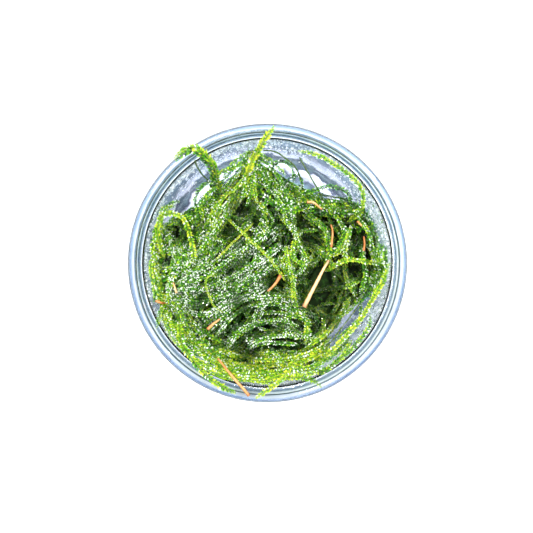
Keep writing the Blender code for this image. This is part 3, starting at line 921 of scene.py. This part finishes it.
# Loose strands that bridge the gaps and lie on the ledge: (tone, wetness for painted glints, width,
# route with heights).
LOOSE = [
    (0.74, 0.2, 1, [
        (-24.7, -30.3, 47.6), (-20.8, -32, 47.9), (-16.7, -34.1, 48.3), (-12, -36.3, 48.7),
        (-7.4, -37.5, 49), (-1.2, -37.7, 49), (3.7, -36.6, 48.6), (8.4, -36, 47), (13.1, -34.8, 44)]),
    (0.66, 0.2, 1, [
        (-22.9, -29.2, 46), (-18.2, -31.6, 47), (-14.2, -33.8, 47.6), (-10.5, -35.4, 47.8),
        (-4.3, -36, 48), (2, -35.2, 47.7), (8.3, -34.4, 47.3), (14.6, -33.6, 46.5),
        (19.5, -31.4, 44)]),
    (0.70, 0.2, 1, [
        (-29.6, -21, 43), (-26.6, -27.6, 47.8), (-22.2, -31.6, 49.2), (-19, -34, 49.8),
        (-16.1, -35.6, 50), (-12.9, -36.7, 50), (-9.4, -37.7, 49.6)]),
    (0.68, 0.2, 0.95, [
        (27.3, -25, 46), (23.4, -30.5, 49.2), (19.4, -33.4, 49), (16, -35.1, 48.8),
        (11.4, -36, 48.4), (6.7, -36.6, 48), (2.1, -36.8, 46)]),
    (0.66, 0.2, 0.8, [
        (-34.5, -12.2, 43), (-34.1, -16.5, 46.6), (-33.1, -19.7, 48.2), (-31.6, -22.7, 48.6),
        (-29.4, -25.5, 48.8), (-27, -27.7, 48.9), (-24.6, -30.3, 48.6)]),
    (0.60, 0.15, 1, [
        (-18.8, 23.1, 42), (-16.4, 28.5, 46), (-11.8, 30.5, 46.5), (-7.1, 32.3, 45.5), (-3.7, 31.5, 43),
        (-1.1, 27.1, 40)]),
    (0.38, 0.15, 1, [
        (-12.9, 24.1, 41), (-16.7, 26.6, 46), (-21.3, 24.7, 45.8), (-23.3, 21, 45), (-22.9, 18.2, 44),
        (-21.3, 14.3, 40)]),
    (0.58, 0.15, 0.9, [(-14.9, 26.1, 44), (-19.3, 22.6, 45.5), (-21.6, 18.7, 45), (-20.8, 13.8, 42)]),
    (0.34, 0.2, 0.9, [
        (-2.1, 27.1, 40), (1.9, 31.8, 44), (4.1, 32.8, 44.5), (6.5, 32.3, 44), (8.5, 30, 42),
        (8.7, 26.1, 39)]),
    (0.40, 0.2, 1, [
        (10.6, 22.2, 42), (14.6, 23.5, 44.2), (17.6, 24.4, 45), (20.4, 24.9, 45.2), (22.6, 24.3, 45),
        (24.8, 23.8, 44.8), (26.6, 21.7, 44.5), (27.5, 18.2, 42)]),
    (0.30, 0.2, 0.8, [
        (4.7, 24.1, 41), (7.2, 27.3, 43.6), (9.3, 28.5, 44.5), (10.8, 27.5, 44.5), (11.6, 23.6, 41)]),
    (0.62, 0.2, 0.9, [
        (35.7, -7.3, 44), (33.8, -11.7, 47.4), (30.8, -16.6, 47), (26.8, -21, 46.6), (22.4, -25, 45)]),
    (0.55, 0.2, 0.9, [
        (30.8, -13.2, 43), (29.8, -18.6, 45.8), (26.3, -23, 46), (21.9, -27.4, 46), (17.5, -29.9, 44)]),
    (0.78, 0.1, 0.7, [
        (-12.9, 14.3, 41), (-11, 12.7, 44), (-5.1, 7, 44.6), (0.2, 2, 44.6), (5, -4.5, 44.2),
        (6.2, -6.3, 41)]),
    (0.86, 0.05, 0.5, [
        (-4.6, 12.9, 42), (-7, 10.7, 45), (-11.4, 6.6, 45.4), (-15.8, 2.1, 45.2), (-17.3, 0.8, 42)]),
    (0.82, 0.05, 0.5, [
        (-16.5, -4.6, 43.5), (-18.2, -3.9, 45.4), (-19.8, -4.8, 45.8), (-19.9, -7.7, 45.9),
        (-18.6, -11.1, 46), (-17.2, -14.1, 46), (-14.4, -16, 44.6)]),
    (0.84, 0.05, 0.6, [
        (6.2, -9.8, 43), (6.9, -8.8, 44.9), (8.2, -8.9, 45.2), (8.8, -10, 45.2), (8, -11, 45),
        (6.8, -10.8, 44.6)]),
]
# Hollows where the tangle sinks: (x, y, radius, depth).
HOLLOWS = [
    (-8, 17, 2.6, 5), (-11.9, 9.9, 2.2, 4), (18.5, -4.3, 3.2, 5), (21.4, -9.8, 3, 4), (-7, -29.9, 2.2, 4),
    (-8, -14.7, 2.6, 3), (13.6, 6.9, 2.2, 4), (14.6, -12.2, 3, 4), (28.3, -2.4, 2, 4), (19.5, -18.1, 2.6, 4),
    (29.8, 6.5, 1.6, 4), (2.3, -5.8, 2, 3), (11.6, 13.8, 1.8, 3), (-26.7, 9.9, 2.4, 3), (-21.8, -12.2, 2, 2),
]


def smooth_line(points, step):
    """A Catmull-Rom curve through the points, read about every step."""
    points = [Vector(p) for p in points]
    ends = [points[0] * 2 - points[1], *points, points[-1] * 2 - points[-2]]
    line = []
    for a, b, c, d in zip(ends, ends[1:], ends[2:], ends[3:]):
        count = max(2, round((c - b).length / step))
        for t in (i / count for i in range(count)):
            cubic = (3 * b - a - 3 * c + d) * t**3
            square = (2 * a - 5 * b + 4 * c - d) * t**2
            line.append(0.5 * (2 * b + (c - a) * t + square + cubic))
    return [*line, points[-1]]


# %% Read the flow at any place
flow_places, flow_turns = [], []
for _, _, _, _, route in GUIDES:
    line = smooth_line([(x, y, 0) for x, y in route], 1.0)
    for a, b in zip(line, line[1:]):
        flow_places.append((a.x, a.y))
        flow_turns.append((b - a).normalized().xy)
flow_places, flow_turns = np.array(flow_places), np.array(flow_turns)
FLOW_REACH = 3.2


def flow_direction(x, y):
    """The way the strands run at x, y. Opposite guides agree, because a strand has no front."""
    far = ((flow_places - (x, y)) ** 2).sum(1)
    weight = np.exp(-far / (2 * FLOW_REACH**2)) + 1e-9 / (1 + far)
    across, up = flow_turns.T
    turn = 0.5 * math.atan2(2 * (weight * across * up).sum(), (weight * (across**2 - up**2)).sum())
    return Vector((math.cos(turn), math.sin(turn), 0.0))


def hollow_depth(x, y):
    return sum(deep * math.exp(-((x - a) ** 2 + (y - b) ** 2) / (2 * r * r)) for a, b, r, deep in HOLLOWS)


print("guides:", len(GUIDES), "flow marks:", len(flow_places))

# %% [markdown]
# ## Let the strands run
# A strand starts somewhere on the clump's skin and takes short steps. On the top it follows the
# guides, on the side it runs round the cup and up and down it, and underneath it curls. Each step
# is pulled back to its own depth under the skin, with a slow wave that takes it over one neighbour
# and under the next.

# %% Step along the skin
STEP = 1.1
SUNLIT = 1.0  # millimetres under the skin down to which the light reaches freely
SHADE_FALL = 1.5  # every so many millimetres further down, the light falls to a third
DEEPEST_SHADE = 0.12
TOP_SLOPE = 0.45  # the skin counts as top where its normal rises more than this
UNDER_SLOPE = -0.6  # and as underneath where it falls more than this
Strand = namedtuple("Strand", "points facings shades tone wet width")
DEEP_GLOWS = (0.0, 0.0, 0.0, 0.25, 0.5)  # some strands catch light even in the deep


def shade_under(depth):
    return min(1.0, max(DEEPEST_SHADE, math.exp(-(depth - SUNLIT) / SHADE_FALL)))


def side_direction(point, normal):
    round_cup = Vector((-normal.y, normal.x, 0.0)).normalized()
    bearing = math.atan2(point.y, point.x)
    climb = 1.1 * math.sin(2.0 * bearing + 0.8) + 0.9 * math.sin(3.0 * bearing + point.z / 8.0)
    rising = Vector((0.0, 0.0, 1.0))
    return round_cup * math.cos(climb) + rising * math.sin(climb)


def under_direction(point):
    turn = 2.2 * noise(Vector((point.x, point.y, 0.0)) / 16.0) * math.pi
    return Vector((math.cos(turn), math.sin(turn), 0.0))


def run_strand(start, length, depth, wobble, rng, tone, wet, turned_by=0.0):
    """A strand from a start near the skin. Its points are in millimetres."""
    glow = rng.choice(DEEP_GLOWS)
    phase, twist = rng.uniform(0, 40), rng.uniform(-0.9, 0.9)
    wave_length, wave_height = rng.uniform(5, 10), rng.uniform(0.25, 0.8)
    heading = None
    point = Vector(start)
    points, facings, shades = [], [], []
    for i in range(round(length / STEP)):
        skin, normal, _, _ = moss_tree.find_nearest(point)
        if normal.z > TOP_SLOPE:
            way = flow_direction(skin.x, skin.y)
        elif normal.z < UNDER_SLOPE:
            way = under_direction(skin)
        else:
            way = side_direction(skin, normal)
        way.rotate(Matrix.Rotation(turned_by, 3, normal))
        if heading is None:
            heading = way * rng.choice((-1, 1))
        way = way if way.dot(heading) > 0 else -way
        sway = wobble * noise(Vector((phase, i * STEP / 9.0, 0.0))) * 2.2
        heading = (heading * 0.45 + way * 0.55).normalized()
        heading.rotate(Matrix.Rotation(sway * 0.5, 3, normal))
        heading = (heading - normal * heading.dot(normal)).normalized()
        wave = wave_height * math.sin(i * STEP / wave_length * math.tau + phase)
        sunk = hollow_depth(skin.x, skin.y) * max(0.0, normal.z)
        under = max(0.75, depth + wave + sunk)
        placed = skin - normal * under
        points.append(placed)
        roll = twist + 0.8 * noise(Vector((phase, 7.0, i * STEP / 12.0)))
        facing = normal.copy()
        facing.rotate(Matrix.Rotation(roll, 3, heading))
        facings.append(facing)
        shades.append(max(glow, shade_under(under)))
        point = placed + heading * STEP
    return Strand(points, facings, shades, tone, wet, rng.uniform(0.85, 1.12))


# %% Gather strands into meshes of routes
def routes_mesh(name, strands):
    """All routes as chains of edges, with what the leaves need to know stored on the points."""
    points, edges, facings = [], [], []
    values = {"shade": [], "tone": [], "wet": [], "width": []}
    for strand in strands:
        first, count = len(points), len(strand.points)
        points += [p * MM for p in strand.points]
        edges += [(first + i, first + i + 1) for i in range(count - 1)]
        facings += [c for facing in strand.facings for c in facing]
        values["shade"] += strand.shades
        for label in ("tone", "wet", "width"):
            values[label] += [getattr(strand, label)] * count
    mesh = bpy.data.meshes.new(name)
    mesh.from_pydata(points, edges, [])
    mesh.attributes.new("facing", "FLOAT_VECTOR", "POINT").data.foreach_set("vector", facings)
    for label, numbers in values.items():
        store(mesh, label, numbers)
    return mesh


def leafy_piece(name, strands, seed, leaf, spacing, stem=0.13, step=1.3):
    mesh = run_tree(
        name, routes_mesh(name, strands), leafy_strand, Leaf=leaf_pattern, Leaf_length=leaf * MM,
        Leaf_spacing=spacing * MM, Stem_radius=stem * MM, Stem_step=step * MM, Seed=seed,
        Leaf_finish=moss_leaf, Stem_finish=wiry_stem)
    mesh.calc_loop_triangles()
    made = finished(name, mesh)
    total = sum((b - a).length for s in strands for a, b in zip(s.points, s.points[1:]))
    print(f"{name}: {len(strands)} strands, {total / 1000:.1f} m, {len(mesh.loop_triangles)} triangles")
    return made


# %% Strands of the top
def look_at(x, y, rng):
    """Tone and wetness, which sets the painted glints, near a place, taken from the four guides that are
    nearest.
    """

    def gap(route):
        return min((x - a) ** 2 + (y - b) ** 2 for a, b in route)

    near = sorted((gap(route), tone, wet) for tone, wet, _, _, route in GUIDES)[:4]
    weights = [1 / (4 + far) for far, _, _ in near]
    tone = sum(w * t for w, (_, t, _) in zip(weights, near)) / sum(weights)
    wet = sum(w * t for w, (_, _, t) in zip(weights, near)) / sum(weights)
    return min(0.62, tone) + rng.uniform(-0.12, 0.08), wet


def top_point(x, y):
    hit = moss_tree.ray_cast(Vector((x, y, 80.0)), Vector((0, 0, -1)))
    return hit[0]


LAYERS = ((5.2, 110, 1.3), (3.6, 100, 1.0), (2.3, 70, 0.7))  # (depth, how many strands, wobble)
rng = random.Random(11)
top_strands = []
for depth, count, wobble in LAYERS:
    made = 0
    while made < count:
        bearing, out_to = rng.uniform(0, math.tau), 36.0 * math.sqrt(rng.random())
        x, y = out_to * math.cos(bearing), out_to * math.sin(bearing)
        start = top_point(x, y)
        if start is None or (depth < 3.0 and x > 5 and rng.random() < 0.6):
            continue
        tone, wet = look_at(x, y, rng)
        turned_by = rng.gauss(0, 0.4) if rng.random() < 0.68 else rng.uniform(-1.5, 1.5)
        length = rng.uniform(24, 48)
        top_strands.append(run_strand(start, length, depth, wobble, rng, tone, wet, turned_by))
        made += 1

# Short curls lie over the combed strands in every direction.
CURLS = 105
curls = 0
while curls < CURLS:
    x, y = rng.uniform(-33, 14), rng.uniform(-30, 27)
    start = top_point(x, y)
    if start is None or math.hypot(x, y) > 34:
        continue
    tone, wet = look_at(x, y, rng)
    length, turned_by = rng.uniform(8, 22), rng.uniform(-1.6, 1.6)
    curl = run_strand(start, length, rng.uniform(0.8, 1.3), 2.4, rng, tone + 0.08, wet, turned_by)
    top_strands.append(curl._replace(width=rng.uniform(0.7, 0.95)))
    curls += 1


def guide_strand(tone, wet, stray, route, rng, depth):
    """A strand that keeps to a guide line, moved aside by up to stray."""
    aside_x, aside_y = rng.gauss(0, stray * 0.6), rng.gauss(0, stray * 0.6)
    own = stray * 0.25
    moved = [(x + aside_x + rng.gauss(0, own), y + aside_y + rng.gauss(0, own), 0) for x, y in route]
    phase, twist = rng.uniform(0, 40), rng.uniform(-0.7, 0.7)
    points, facings, shades = [], [], []
    for i, place in enumerate(smooth_line(moved, STEP)):
        drift = Vector((noise(Vector((phase, i / 7.0, 11.0))), noise(Vector((phase, i / 7.0, 17.0))), 0.0))
        place = place + 1.3 * drift * min(1.0, stray)
        skin = top_point(place.x, place.y)
        if skin is None:
            continue
        _, normal, _, _ = moss_tree.find_nearest(skin)
        wave = 0.45 * math.sin(i * STEP / 6.5 + phase)
        under = max(0.7, depth + wave + 0.75 * hollow_depth(place.x, place.y))
        points.append(skin - Vector((0, 0, under)))
        facing = normal.copy()
        roll = twist + 0.7 * noise(Vector((phase, i / 10.0, 3.0)))
        facing.rotate(Matrix.Rotation(roll, 3, Vector((1, 0, 0))))
        facings.append(facing)
        shades.append(shade_under(under))
    return Strand(points, facings, shades, tone, wet, rng.uniform(0.9, 1.1))


def clear_strand(tone, wet, width, line, seed, sway=(0.3, 0.35)):
    """A strand along a line of its own, clear of the tangle, its leaves turned up but for a sway."""
    facings = []
    for i in range(len(line)):
        tips = [amount * noise(Vector((seed, i / 6.0, row))) for amount, row in zip(sway, (0, 5))]
        facings.append(Vector((*tips, 1.0)).normalized())
    return Strand(line, facings, [1.0] * len(line), tone, wet, width)


for seed, (tone, wet, width, route) in enumerate(LOOSE, 200):
    top_strands.append(clear_strand(tone, wet, width, smooth_line(route, STEP), seed))
# A fan of young strands spreads to the front from the root of the back tip.
FAN_TIP = Vector((-4.9, 35.8, 46.6))
FAN_STRANDS = 22
for i in range(FAN_STRANDS):
    bearing, reach = math.radians(rng.uniform(216, 332)), rng.uniform(9, 17)
    jitter = Vector((rng.gauss(0, 0.8), rng.gauss(0, 0.7), rng.gauss(0, 0.4)))
    drop, bend = rng.uniform(3.4, 5.2), rng.uniform(-2.0, 2.0)
    ahead = Vector((math.cos(bearing), math.sin(bearing), 0.0))
    aside = Vector((-ahead.y, ahead.x, 0.0))
    route = []
    for t in (0, 0.25, 0.5, 0.75, 1.0):
        fallen = Vector((0, 0, -drop * t**1.2))
        route.append(FAN_TIP + jitter + ahead * reach * t + aside * bend * math.sin(3 * t) + fallen)
    tone, width = rng.uniform(0.38, 0.68), rng.uniform(0.7, 0.95)
    top_strands.append(clear_strand(tone, 0.25, width, smooth_line(route, STEP), 900 + i))
# Strands pressed along the wall: (first and last bearing in degrees, how many, lowest, highest).
ALONG_WALL = [(150, 262, 34, 41.5, 46.8), (250, 312, 22, 43.0, 48.2), (-14, 2, 10, 40.5, 46.2)]
for first, last, count, low, high in ALONG_WALL:
    for i in range(count):
        at, reach = rng.uniform(first, last), rng.uniform(10, 28)
        height, lean = rng.uniform(low, high), rng.uniform(-2.5, 2.5)
        inset = rng.uniform(1.1, 1.6) + max(0.0, (high - height) * 0.25)
        route = []
        for k in range(6):
            along = k / 5 - 0.5
            at_end = k in (0, 5)  # both ends turn back into the tangle and down
            bearing = math.radians(min(last + 8, max(first - 8, at + reach * along)))
            z = min(high + 0.6, height + lean * along + rng.uniform(-0.5, 0.5))
            out_to = wall_inside(min(z, CUP_HEIGHT - LEDGE_BELOW_RIM)) - inset - rng.uniform(0, 0.7)
            out_to -= 2.0 if at_end else 0.0
            z -= 3.0 if at_end else 0.0
            route.append((out_to * math.cos(bearing), out_to * math.sin(bearing), z))
        tone, width = rng.uniform(0.36, 0.74), rng.uniform(0.8, 1.05)
        seed = 300 + i + 50 * first
        top_strands.append(clear_strand(tone, 0.25, width, smooth_line(route, STEP), seed))
for tone, wet, followers, stray, route in GUIDES:
    for i in range(followers):
        own_tone = tone + (rng.uniform(-0.12, 0.15) if i else 0.06)
        own_wet_glint = wet * rng.uniform(0.45, 1.5)
        strand = guide_strand(own_tone, own_wet_glint, stray if i else 0.1, route, rng, 0.8 + 0.42 * i)
        if len(strand.points) > 4:
            top_strands.append(strand)


def middle_of(strand):
    return strand.points[len(strand.points) // 2]


quarters = {"moss_back_left": [], "moss_back_right": [], "moss_front_left": [], "moss_front_right": []}
for strand in top_strands:
    end = "back" if middle_of(strand).y > 0 else "front"
    side = "left" if middle_of(strand).x < 0 else "right"
    quarters[f"moss_{end}_{side}"].append(strand)
for seed, (name, strands) in enumerate(quarters.items(), 21):
    leafy_piece(name, strands, seed, leaf=1.05, spacing=0.175)

# %% Strands of the side and underneath
rng = random.Random(12)
SIDE_STRANDS, UNDER_STRANDS = 230, 70
GOLDEN_SHARE = 0.381966  # of a turn, which spreads the starts evenly round the cup
OUTSIDE = 60  # millimetres from the axis, where nothing is
sides = {"moss_side_left": [], "moss_side_right": []}
for i in range(SIDE_STRANDS):
    bearing = math.tau * (i + rng.uniform(-0.5, 0.5)) * GOLDEN_SHARE
    height = rng.uniform(5, 41)
    across, up = math.cos(bearing), math.sin(bearing)
    start, inwards = Vector((OUTSIDE * across, OUTSIDE * up, height)), Vector((-across, -up, 0))
    skin = moss_tree.ray_cast(start, inwards)[0]
    depth = rng.choice((0.8, 1.6, 2.6))
    length, tone, wet = rng.uniform(30, 60), rng.uniform(0.3, 0.62), rng.uniform(0.1, 0.4)
    strand = run_strand(skin, length, depth, 1.0, rng, tone, wet)
    sides["moss_side_left" if middle_of(strand).x < 0 else "moss_side_right"].append(strand)
for seed, (name, strands) in enumerate(sides.items(), 31):
    leafy_piece(name, strands, seed, leaf=1.4, spacing=0.27, step=1.5)

under_strands = []
for _ in range(UNDER_STRANDS):
    bearing, out_to = rng.uniform(0, math.tau), 33 * math.sqrt(rng.random())
    start = Vector((out_to * math.cos(bearing), out_to * math.sin(bearing), 1.0))
    length, depth, tone = rng.uniform(30, 50), rng.choice((0.8, 1.8)), rng.uniform(0.3, 0.55)
    under_strands.append(run_strand(start, length, depth, 1.2, rng, tone, 0.2))
leafy_piece("moss_under", under_strands, 41, leaf=1.5, spacing=0.4, step=1.6)

# %% [markdown]
# ## Loose sprigs
# The young ends of the strands are bright yellow-green. Some stand clear of the tangle, reach over
# the rim or fold back on themselves. Each one is its own piece, on the route of its solid, with
# its root carried on down into the tangle that it grew from.

# %% Routes of the sprigs, in millimetres
# A z of None lies on the tangle.
SPRIGS = {
    "sprig_back_tip": (0.84, 1.2, [
        (-8, 24.1, 41), (-6, 30, 46.8), (-4.9, 33.3, 48), (-3.5, 35.5, 50), (-2.3, 37.5, 51.8),
        (-1, 39.7, 53.3), (0.7, 42, 53.9), (1.9, 43.4, 53.9)]),
    "sprig_rim_fold": (0.54, 1.2, [
        (-15.4, 22.7, 41), (-16.8, 27.1, 47.4), (-17.2, 29.8, 50.5), (-18.5, 32.4, 53), (-20.9, 35, 54.2),
        (-23.8, 36.5, 54.2), (-26.9, 35.2, 53.9), (-29.2, 33.2, 53)]),
    "sprig_wall_arc": (0.66, 0.9, [
        (9.9, 36.2, 46), (15, 35.2, 47), (19.5, 33, 47.7), (24.2, 30, 48.3), (27.7, 26.9, 48.8),
        (30.5, 22.6, 49), (30.2, 18, 48.4), (29.5, 16.1, 46.2), (26.3, 13.3, 41)]),
    "sprig_left_loop": (0.70, 0.95, [
        (-33.6, 1.5, 42), (-35.3, 9, 46.6), (-35.2, 12.7, 47.4), (-33.7, 15.4, 48.6), (-30.4, 16.2, 49.4),
        (-27.4, 15.2, 49.2), (-25.8, 12, 48.4), (-24.8, 7.4, None), (-24.1, 3.7, None), (-23.7, -1.4, 41)]),
    "sprig_left_edge": (0.64, 0.75, [
        (-31.6, -10.2, 41), (-34.4, -14.8, 46.8), (-34.7, -16.5, 49.6), (-35, -18.3, 52.2),
        (-35.2, -19.9, 53.8)]),
    "sprig_front_left": (0.66, 1.15, [
        (-29.1, -19.1, 42), (-27.5, -26.3, 48.8), (-24.6, -29.9, 50.4), (-21, -34, 52.6),
        (-17.7, -36.8, 53.8), (-15.3, -38.5, 54.1), (-10.4, -40.7, 54)]),
    "sprig_front": (0.82, 1, [
        (9.7, -30.9, 44), (5.7, -35.4, 51.2), (3.6, -37.5, 52), (1, -39.2, 53.3), (-1.4, -40.6, 54),
        (-4, -42.5, 54)]),
    "sprig_front_right": (0.68, 1, [
        (-6.1, -33.8, 42), (-0.1, -36, 47.4), (3.7, -36.6, 48.4), (7.6, -36.8, 48.9), (10.6, -36.6, 49.8),
        (14, -36.9, 52.2), (15.6, -37.7, 53.6), (16.9, -39, 54)]),
    "sprig_right_edge": (0.78, 0.9, [
        (39.1, 0.4, 50), (36.8, -5.9, 49.5), (33, -12.9, 48.4), (28.7, -19.9, 47.4), (19.6, -29.4, 46.8),
        (15.5, -32.3, 42)]),
    "sprig_right_front": (0.56, 0.9, [
        (33, -16.5, 49.6), (32.4, -20.3, 49.9), (29.1, -25, 50.1), (26.1, -28.1, 50.1), (20, -33.2, 49.9),
        (17.1, -35, 49.4), (12.6, -33.8, 44)]),
    "sprig_right_cross": (0.72, 0.9, [
        (37.3, 2.5, 49.2), (35.8, 0.3, 48.4), (31.5, 0.5, None), (26.8, 1.1, None), (22.6, -0.4, None),
        (19, -2.9, 41)]),
}
SPRIG_HEIGHT = 1.95  # of a sprig's middle over the tangle that it lies on
SPRIG_WET_GLINT = 0.12
GROWS_BACKWARDS = {"sprig_wall_arc", "sprig_right_edge", "sprig_right_front", "sprig_right_cross"}
TWINS = {"sprig_rim_fold": 0.55}  # two strands grown side by side, this far to each side of the route


def beside(strand, aside, lighter):
    """The same strand moved sideways, in a lighter or darker tone."""
    moved = []
    last = len(strand.points) - 1
    for i, point in enumerate(strand.points):
        ahead = strand.points[min(i + 1, last)] - strand.points[max(i - 1, 0)]
        moved.append(point + ahead.cross(strand.facings[i]).normalized() * aside)
    return strand._replace(points=moved, tone=strand.tone + lighter)


def on_tangle(route, height):
    return [(x, y, top_point(x, y).z + height if z is None else z) for x, y, z in route]


for seed, (name, (tone, width, route)) in enumerate(SPRIGS.items(), 51):
    line = smooth_line(on_tangle(route, SPRIG_HEIGHT), STEP)
    if name in GROWS_BACKWARDS:
        line.reverse()
    strands = [clear_strand(tone, SPRIG_WET_GLINT, width, line, seed, sway=(0.2, 0.25))]
    if name in TWINS:
        strands = [beside(strands[0], TWINS[name], 0.16), beside(strands[0], -TWINS[name], -0.14)]
    leafy_name = name.replace("sprig", "leafy")
    piece = leafy_piece(leafy_name, strands, seed, leaf=1.35, spacing=0.2, stem=0.2, step=0.7)
    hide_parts(name)


# %% [markdown]
# ## Bare stems and scraps of straw
# Where the leaves have gone, a thin dark wire is left. The straws are split scraps of some larger
# plant: orange-brown, a little flattened, rough along their length and broken off at the ends.
# Their upper side is painted lighter and their lower sides darker, as light from above falls.

# %% A tree that makes rough round scraps
def scrap_tree():
    tree, given, out = new_group(
        "rough_scrap",
        "GeometryNodeTree",
        [("Route", "Geometry", None), ("Sides", "Int", 10), ("Step", "Float", 0.25 * MM),
         ("Roughness", "Float", 0.2), ("Flatness", "Float", 0.8), ("Seed", "Int", 1),
         ("Finish", "Material", None)],
        [("Scrap", "Geometry")],
    )

    def stored(geometry, label, value):
        made = {"Geometry": geometry, "Name": label, "Value": value}
        return geometry_node(tree, "StoreNamedAttribute", made, data_type="FLOAT", domain="POINT")

    line = geometry_node(tree, "MeshToCurve", {"Mesh": given["Route"]})
    fine = geometry_node(tree, "ResampleCurve", {"Curve": line, "Length": given["Step"]}, mode="LENGTH")
    marked = stored(fine, "along", node(tree, "GeometryNodeSplineParameter").outputs["Factor"])
    radius = geometry_node(tree, "InputNamedAttribute", {"Name": "radius_here"}, data_type="FLOAT")
    ring = geometry_node(tree, "CurvePrimitiveCircle", {"Resolution": given["Sides"], "Radius": 1.0})
    flattened = shader_node(tree, "CombineXYZ", (1.0, given["Flatness"], 1.0))
    oval = geometry_node(tree, "Transform", {"Geometry": ring, "Scale": flattened})
    swept = {"Curve": marked, "Profile Curve": oval, "Scale": radius, "Fill Caps": True}
    tube = geometry_node(tree, "CurveToMesh", swept)
    lumps = {"Vector": geometry_node(tree, "InputPosition"), "W": times(tree, given["Seed"], 3.7),
             "Scale": 1500.0, "Detail": 3.0}
    bumps = shader_node(tree, "TexNoise", lumps, noise_dimensions="4D")
    amount = times(tree, minus(tree, bumps, 0.5), times(tree, given["Roughness"], radius))
    normal = geometry_node(tree, "InputNormal")
    moved = {"Geometry": tube, "Offset": scaled(tree, normal, amount)}
    rough = geometry_node(tree, "SetPosition", moved)
    # How far each point faces up, for the painted top light of the straw.
    top_lit = stored(rough, "upper", node(tree, "ShaderNodeSeparateXYZ", (normal,)).outputs[2])
    real = geometry_node(tree, "RealizeInstances", {"Geometry": top_lit})
    named = geometry_node(tree, "SetMaterial", {"Geometry": real, "Material": given["Finish"]})
    tree.links.new(named, out["Scrap"])
    return tree


rough_scrap = scrap_tree()


def scrap_piece(name, node_name, line, start, end, tone, finish, slot, seed, **shape):
    mesh = chain_mesh(name, [p * MM for p in line])
    count = len(line)
    store(mesh, "radius_here", [(start + (end - start) * i / (count - 1)) * MM for i in range(count)])
    store(mesh, "tone", [tone] * count)
    store(mesh, "shade", [1.0] * count)
    mesh = run_tree(name, mesh, rough_scrap, Seed=seed, Finish=finish, **shape)
    piece = finished(name, mesh)
    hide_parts(node_name)
    return piece


# %% Bare stems
BARE_STEMS = {
    "stem_back_arch": [
        (-1.3, 36.3, 46.2), (0.5, 36.3, 47), (3.3, 35.5, 47.2), (5.7, 33.8, 47), (8.3, 31.8, 46.5),
        (9.9, 29.3, 45.5), (10.6, 27.5, 44.6), (11.6, 24.1, 39)],
    "stem_back_straight": [
        (10.3, 34.3, 44.8), (12.3, 30.6, 45.2), (15, 26.1, 44.8), (16.3, 23.9, 44.3), (18.5, 20.2, 39)],
    "stem_left_thin": [
        (-23, 33, 52.6), (-22.6, 31.3, 50.8), (-21.2, 28.9, 48.5), (-19.7, 27.3, 47), (-19, 26.3, 45.6),
        (-17.3, 22.2, 39)],
}
for seed, (name, route) in enumerate(BARE_STEMS.items(), 71):
    line = smooth_line(on_tangle(route, 0.9), 0.8)
    scrap_piece(name.replace("stem", "bare"), name, line, 0.24, 0.3, 0.35, wiry_stem, "bare_stem", seed,
                Sides=6, Step=0.4 * MM, Roughness=0.5, Flatness=1.0)

# %% Scraps of straw
# (route, radius at the start, radius at the end, tone)
STRAWS = {
    "straw_front": ([
        (-16.1, -30.5, 48.8), (-13.2, -33.7, 51.4), (-10.2, -37, 53.4), (-8.2, -39.2, 53.4),
        (-6.1, -41.8, 53.4)], 0.36, 0.54, 0.66),
    "straw_long": ([
        (20, 0.8, None), (18.2, -2.1, None), (16.5, -5.2, None), (13.5, -10.9, None),
        (11.9, -14.2, None)], 0.4, 0.75, 0.95),
    "straw_middle": ([
        (4.2, -3.9, None), (3.2, -5.7, None), (1.8, -7.5, None), (0, -9.1, None)], 0.6, 0.3, 0.5),
    "straw_right": ([(31.5, 8.6, None), (31.8, 6.2, None), (31.5, 3.9, None)], 0.28, 0.42, 0.42),
    "straw_right_chip": ([(29.3, 13.6, None), (30.9, 12, None)], 0.36, 0.28, 0.66),
    "straw_inner_right": ([(20.7, 12.5, None), (21.3, 10, None), (20.9, 5.1, None)], 0.26, 0.42, 0.5),
    "straw_back": ([
        (13, 19.8, None), (15, 19.7, None), (16.7, 18.4, None), (17.8, 17.4, None)], 0.48, 0.3, 0.68),
    "straw_left": ([(-36.1, -11.9, 46.6), (-34.5, -12.6, 46.8), (-32.8, -13.2, None)], 0.5, 0.3, 0.6),
    "straw_left_chip": ([(-30.7, -6.3, None), (-29.6, -9.7, None)], 0.25, 0.42, 0.8),
    "straw_front_chip": ([(-19.5, -21.4, None), (-18, -19.9, None), (-15.5, -18, None)], 0.55, 0.3, 0.65),
}
for seed, (name, (route, start, end, tone)) in enumerate(STRAWS.items(), 81):
    line = smooth_line(on_tangle(route, max(start, end) + 0.5), 0.5)
    scrap_piece(name.replace("straw", "scrap"), name, line, start, end, tone, dry_straw, "straw", seed,
                Sides=12, Step=0.2 * MM, Roughness=0.5, Flatness=0.75)

# %% [markdown]
# ## Last steps
# The leaf pattern was only a template and is removed.

# %% Tidy up and count the faces
bpy.data.objects.remove(leaf_pattern, do_unlink=True)
shown = sum(len(o.data.polygons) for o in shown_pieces())
print("faces in all:", shown)
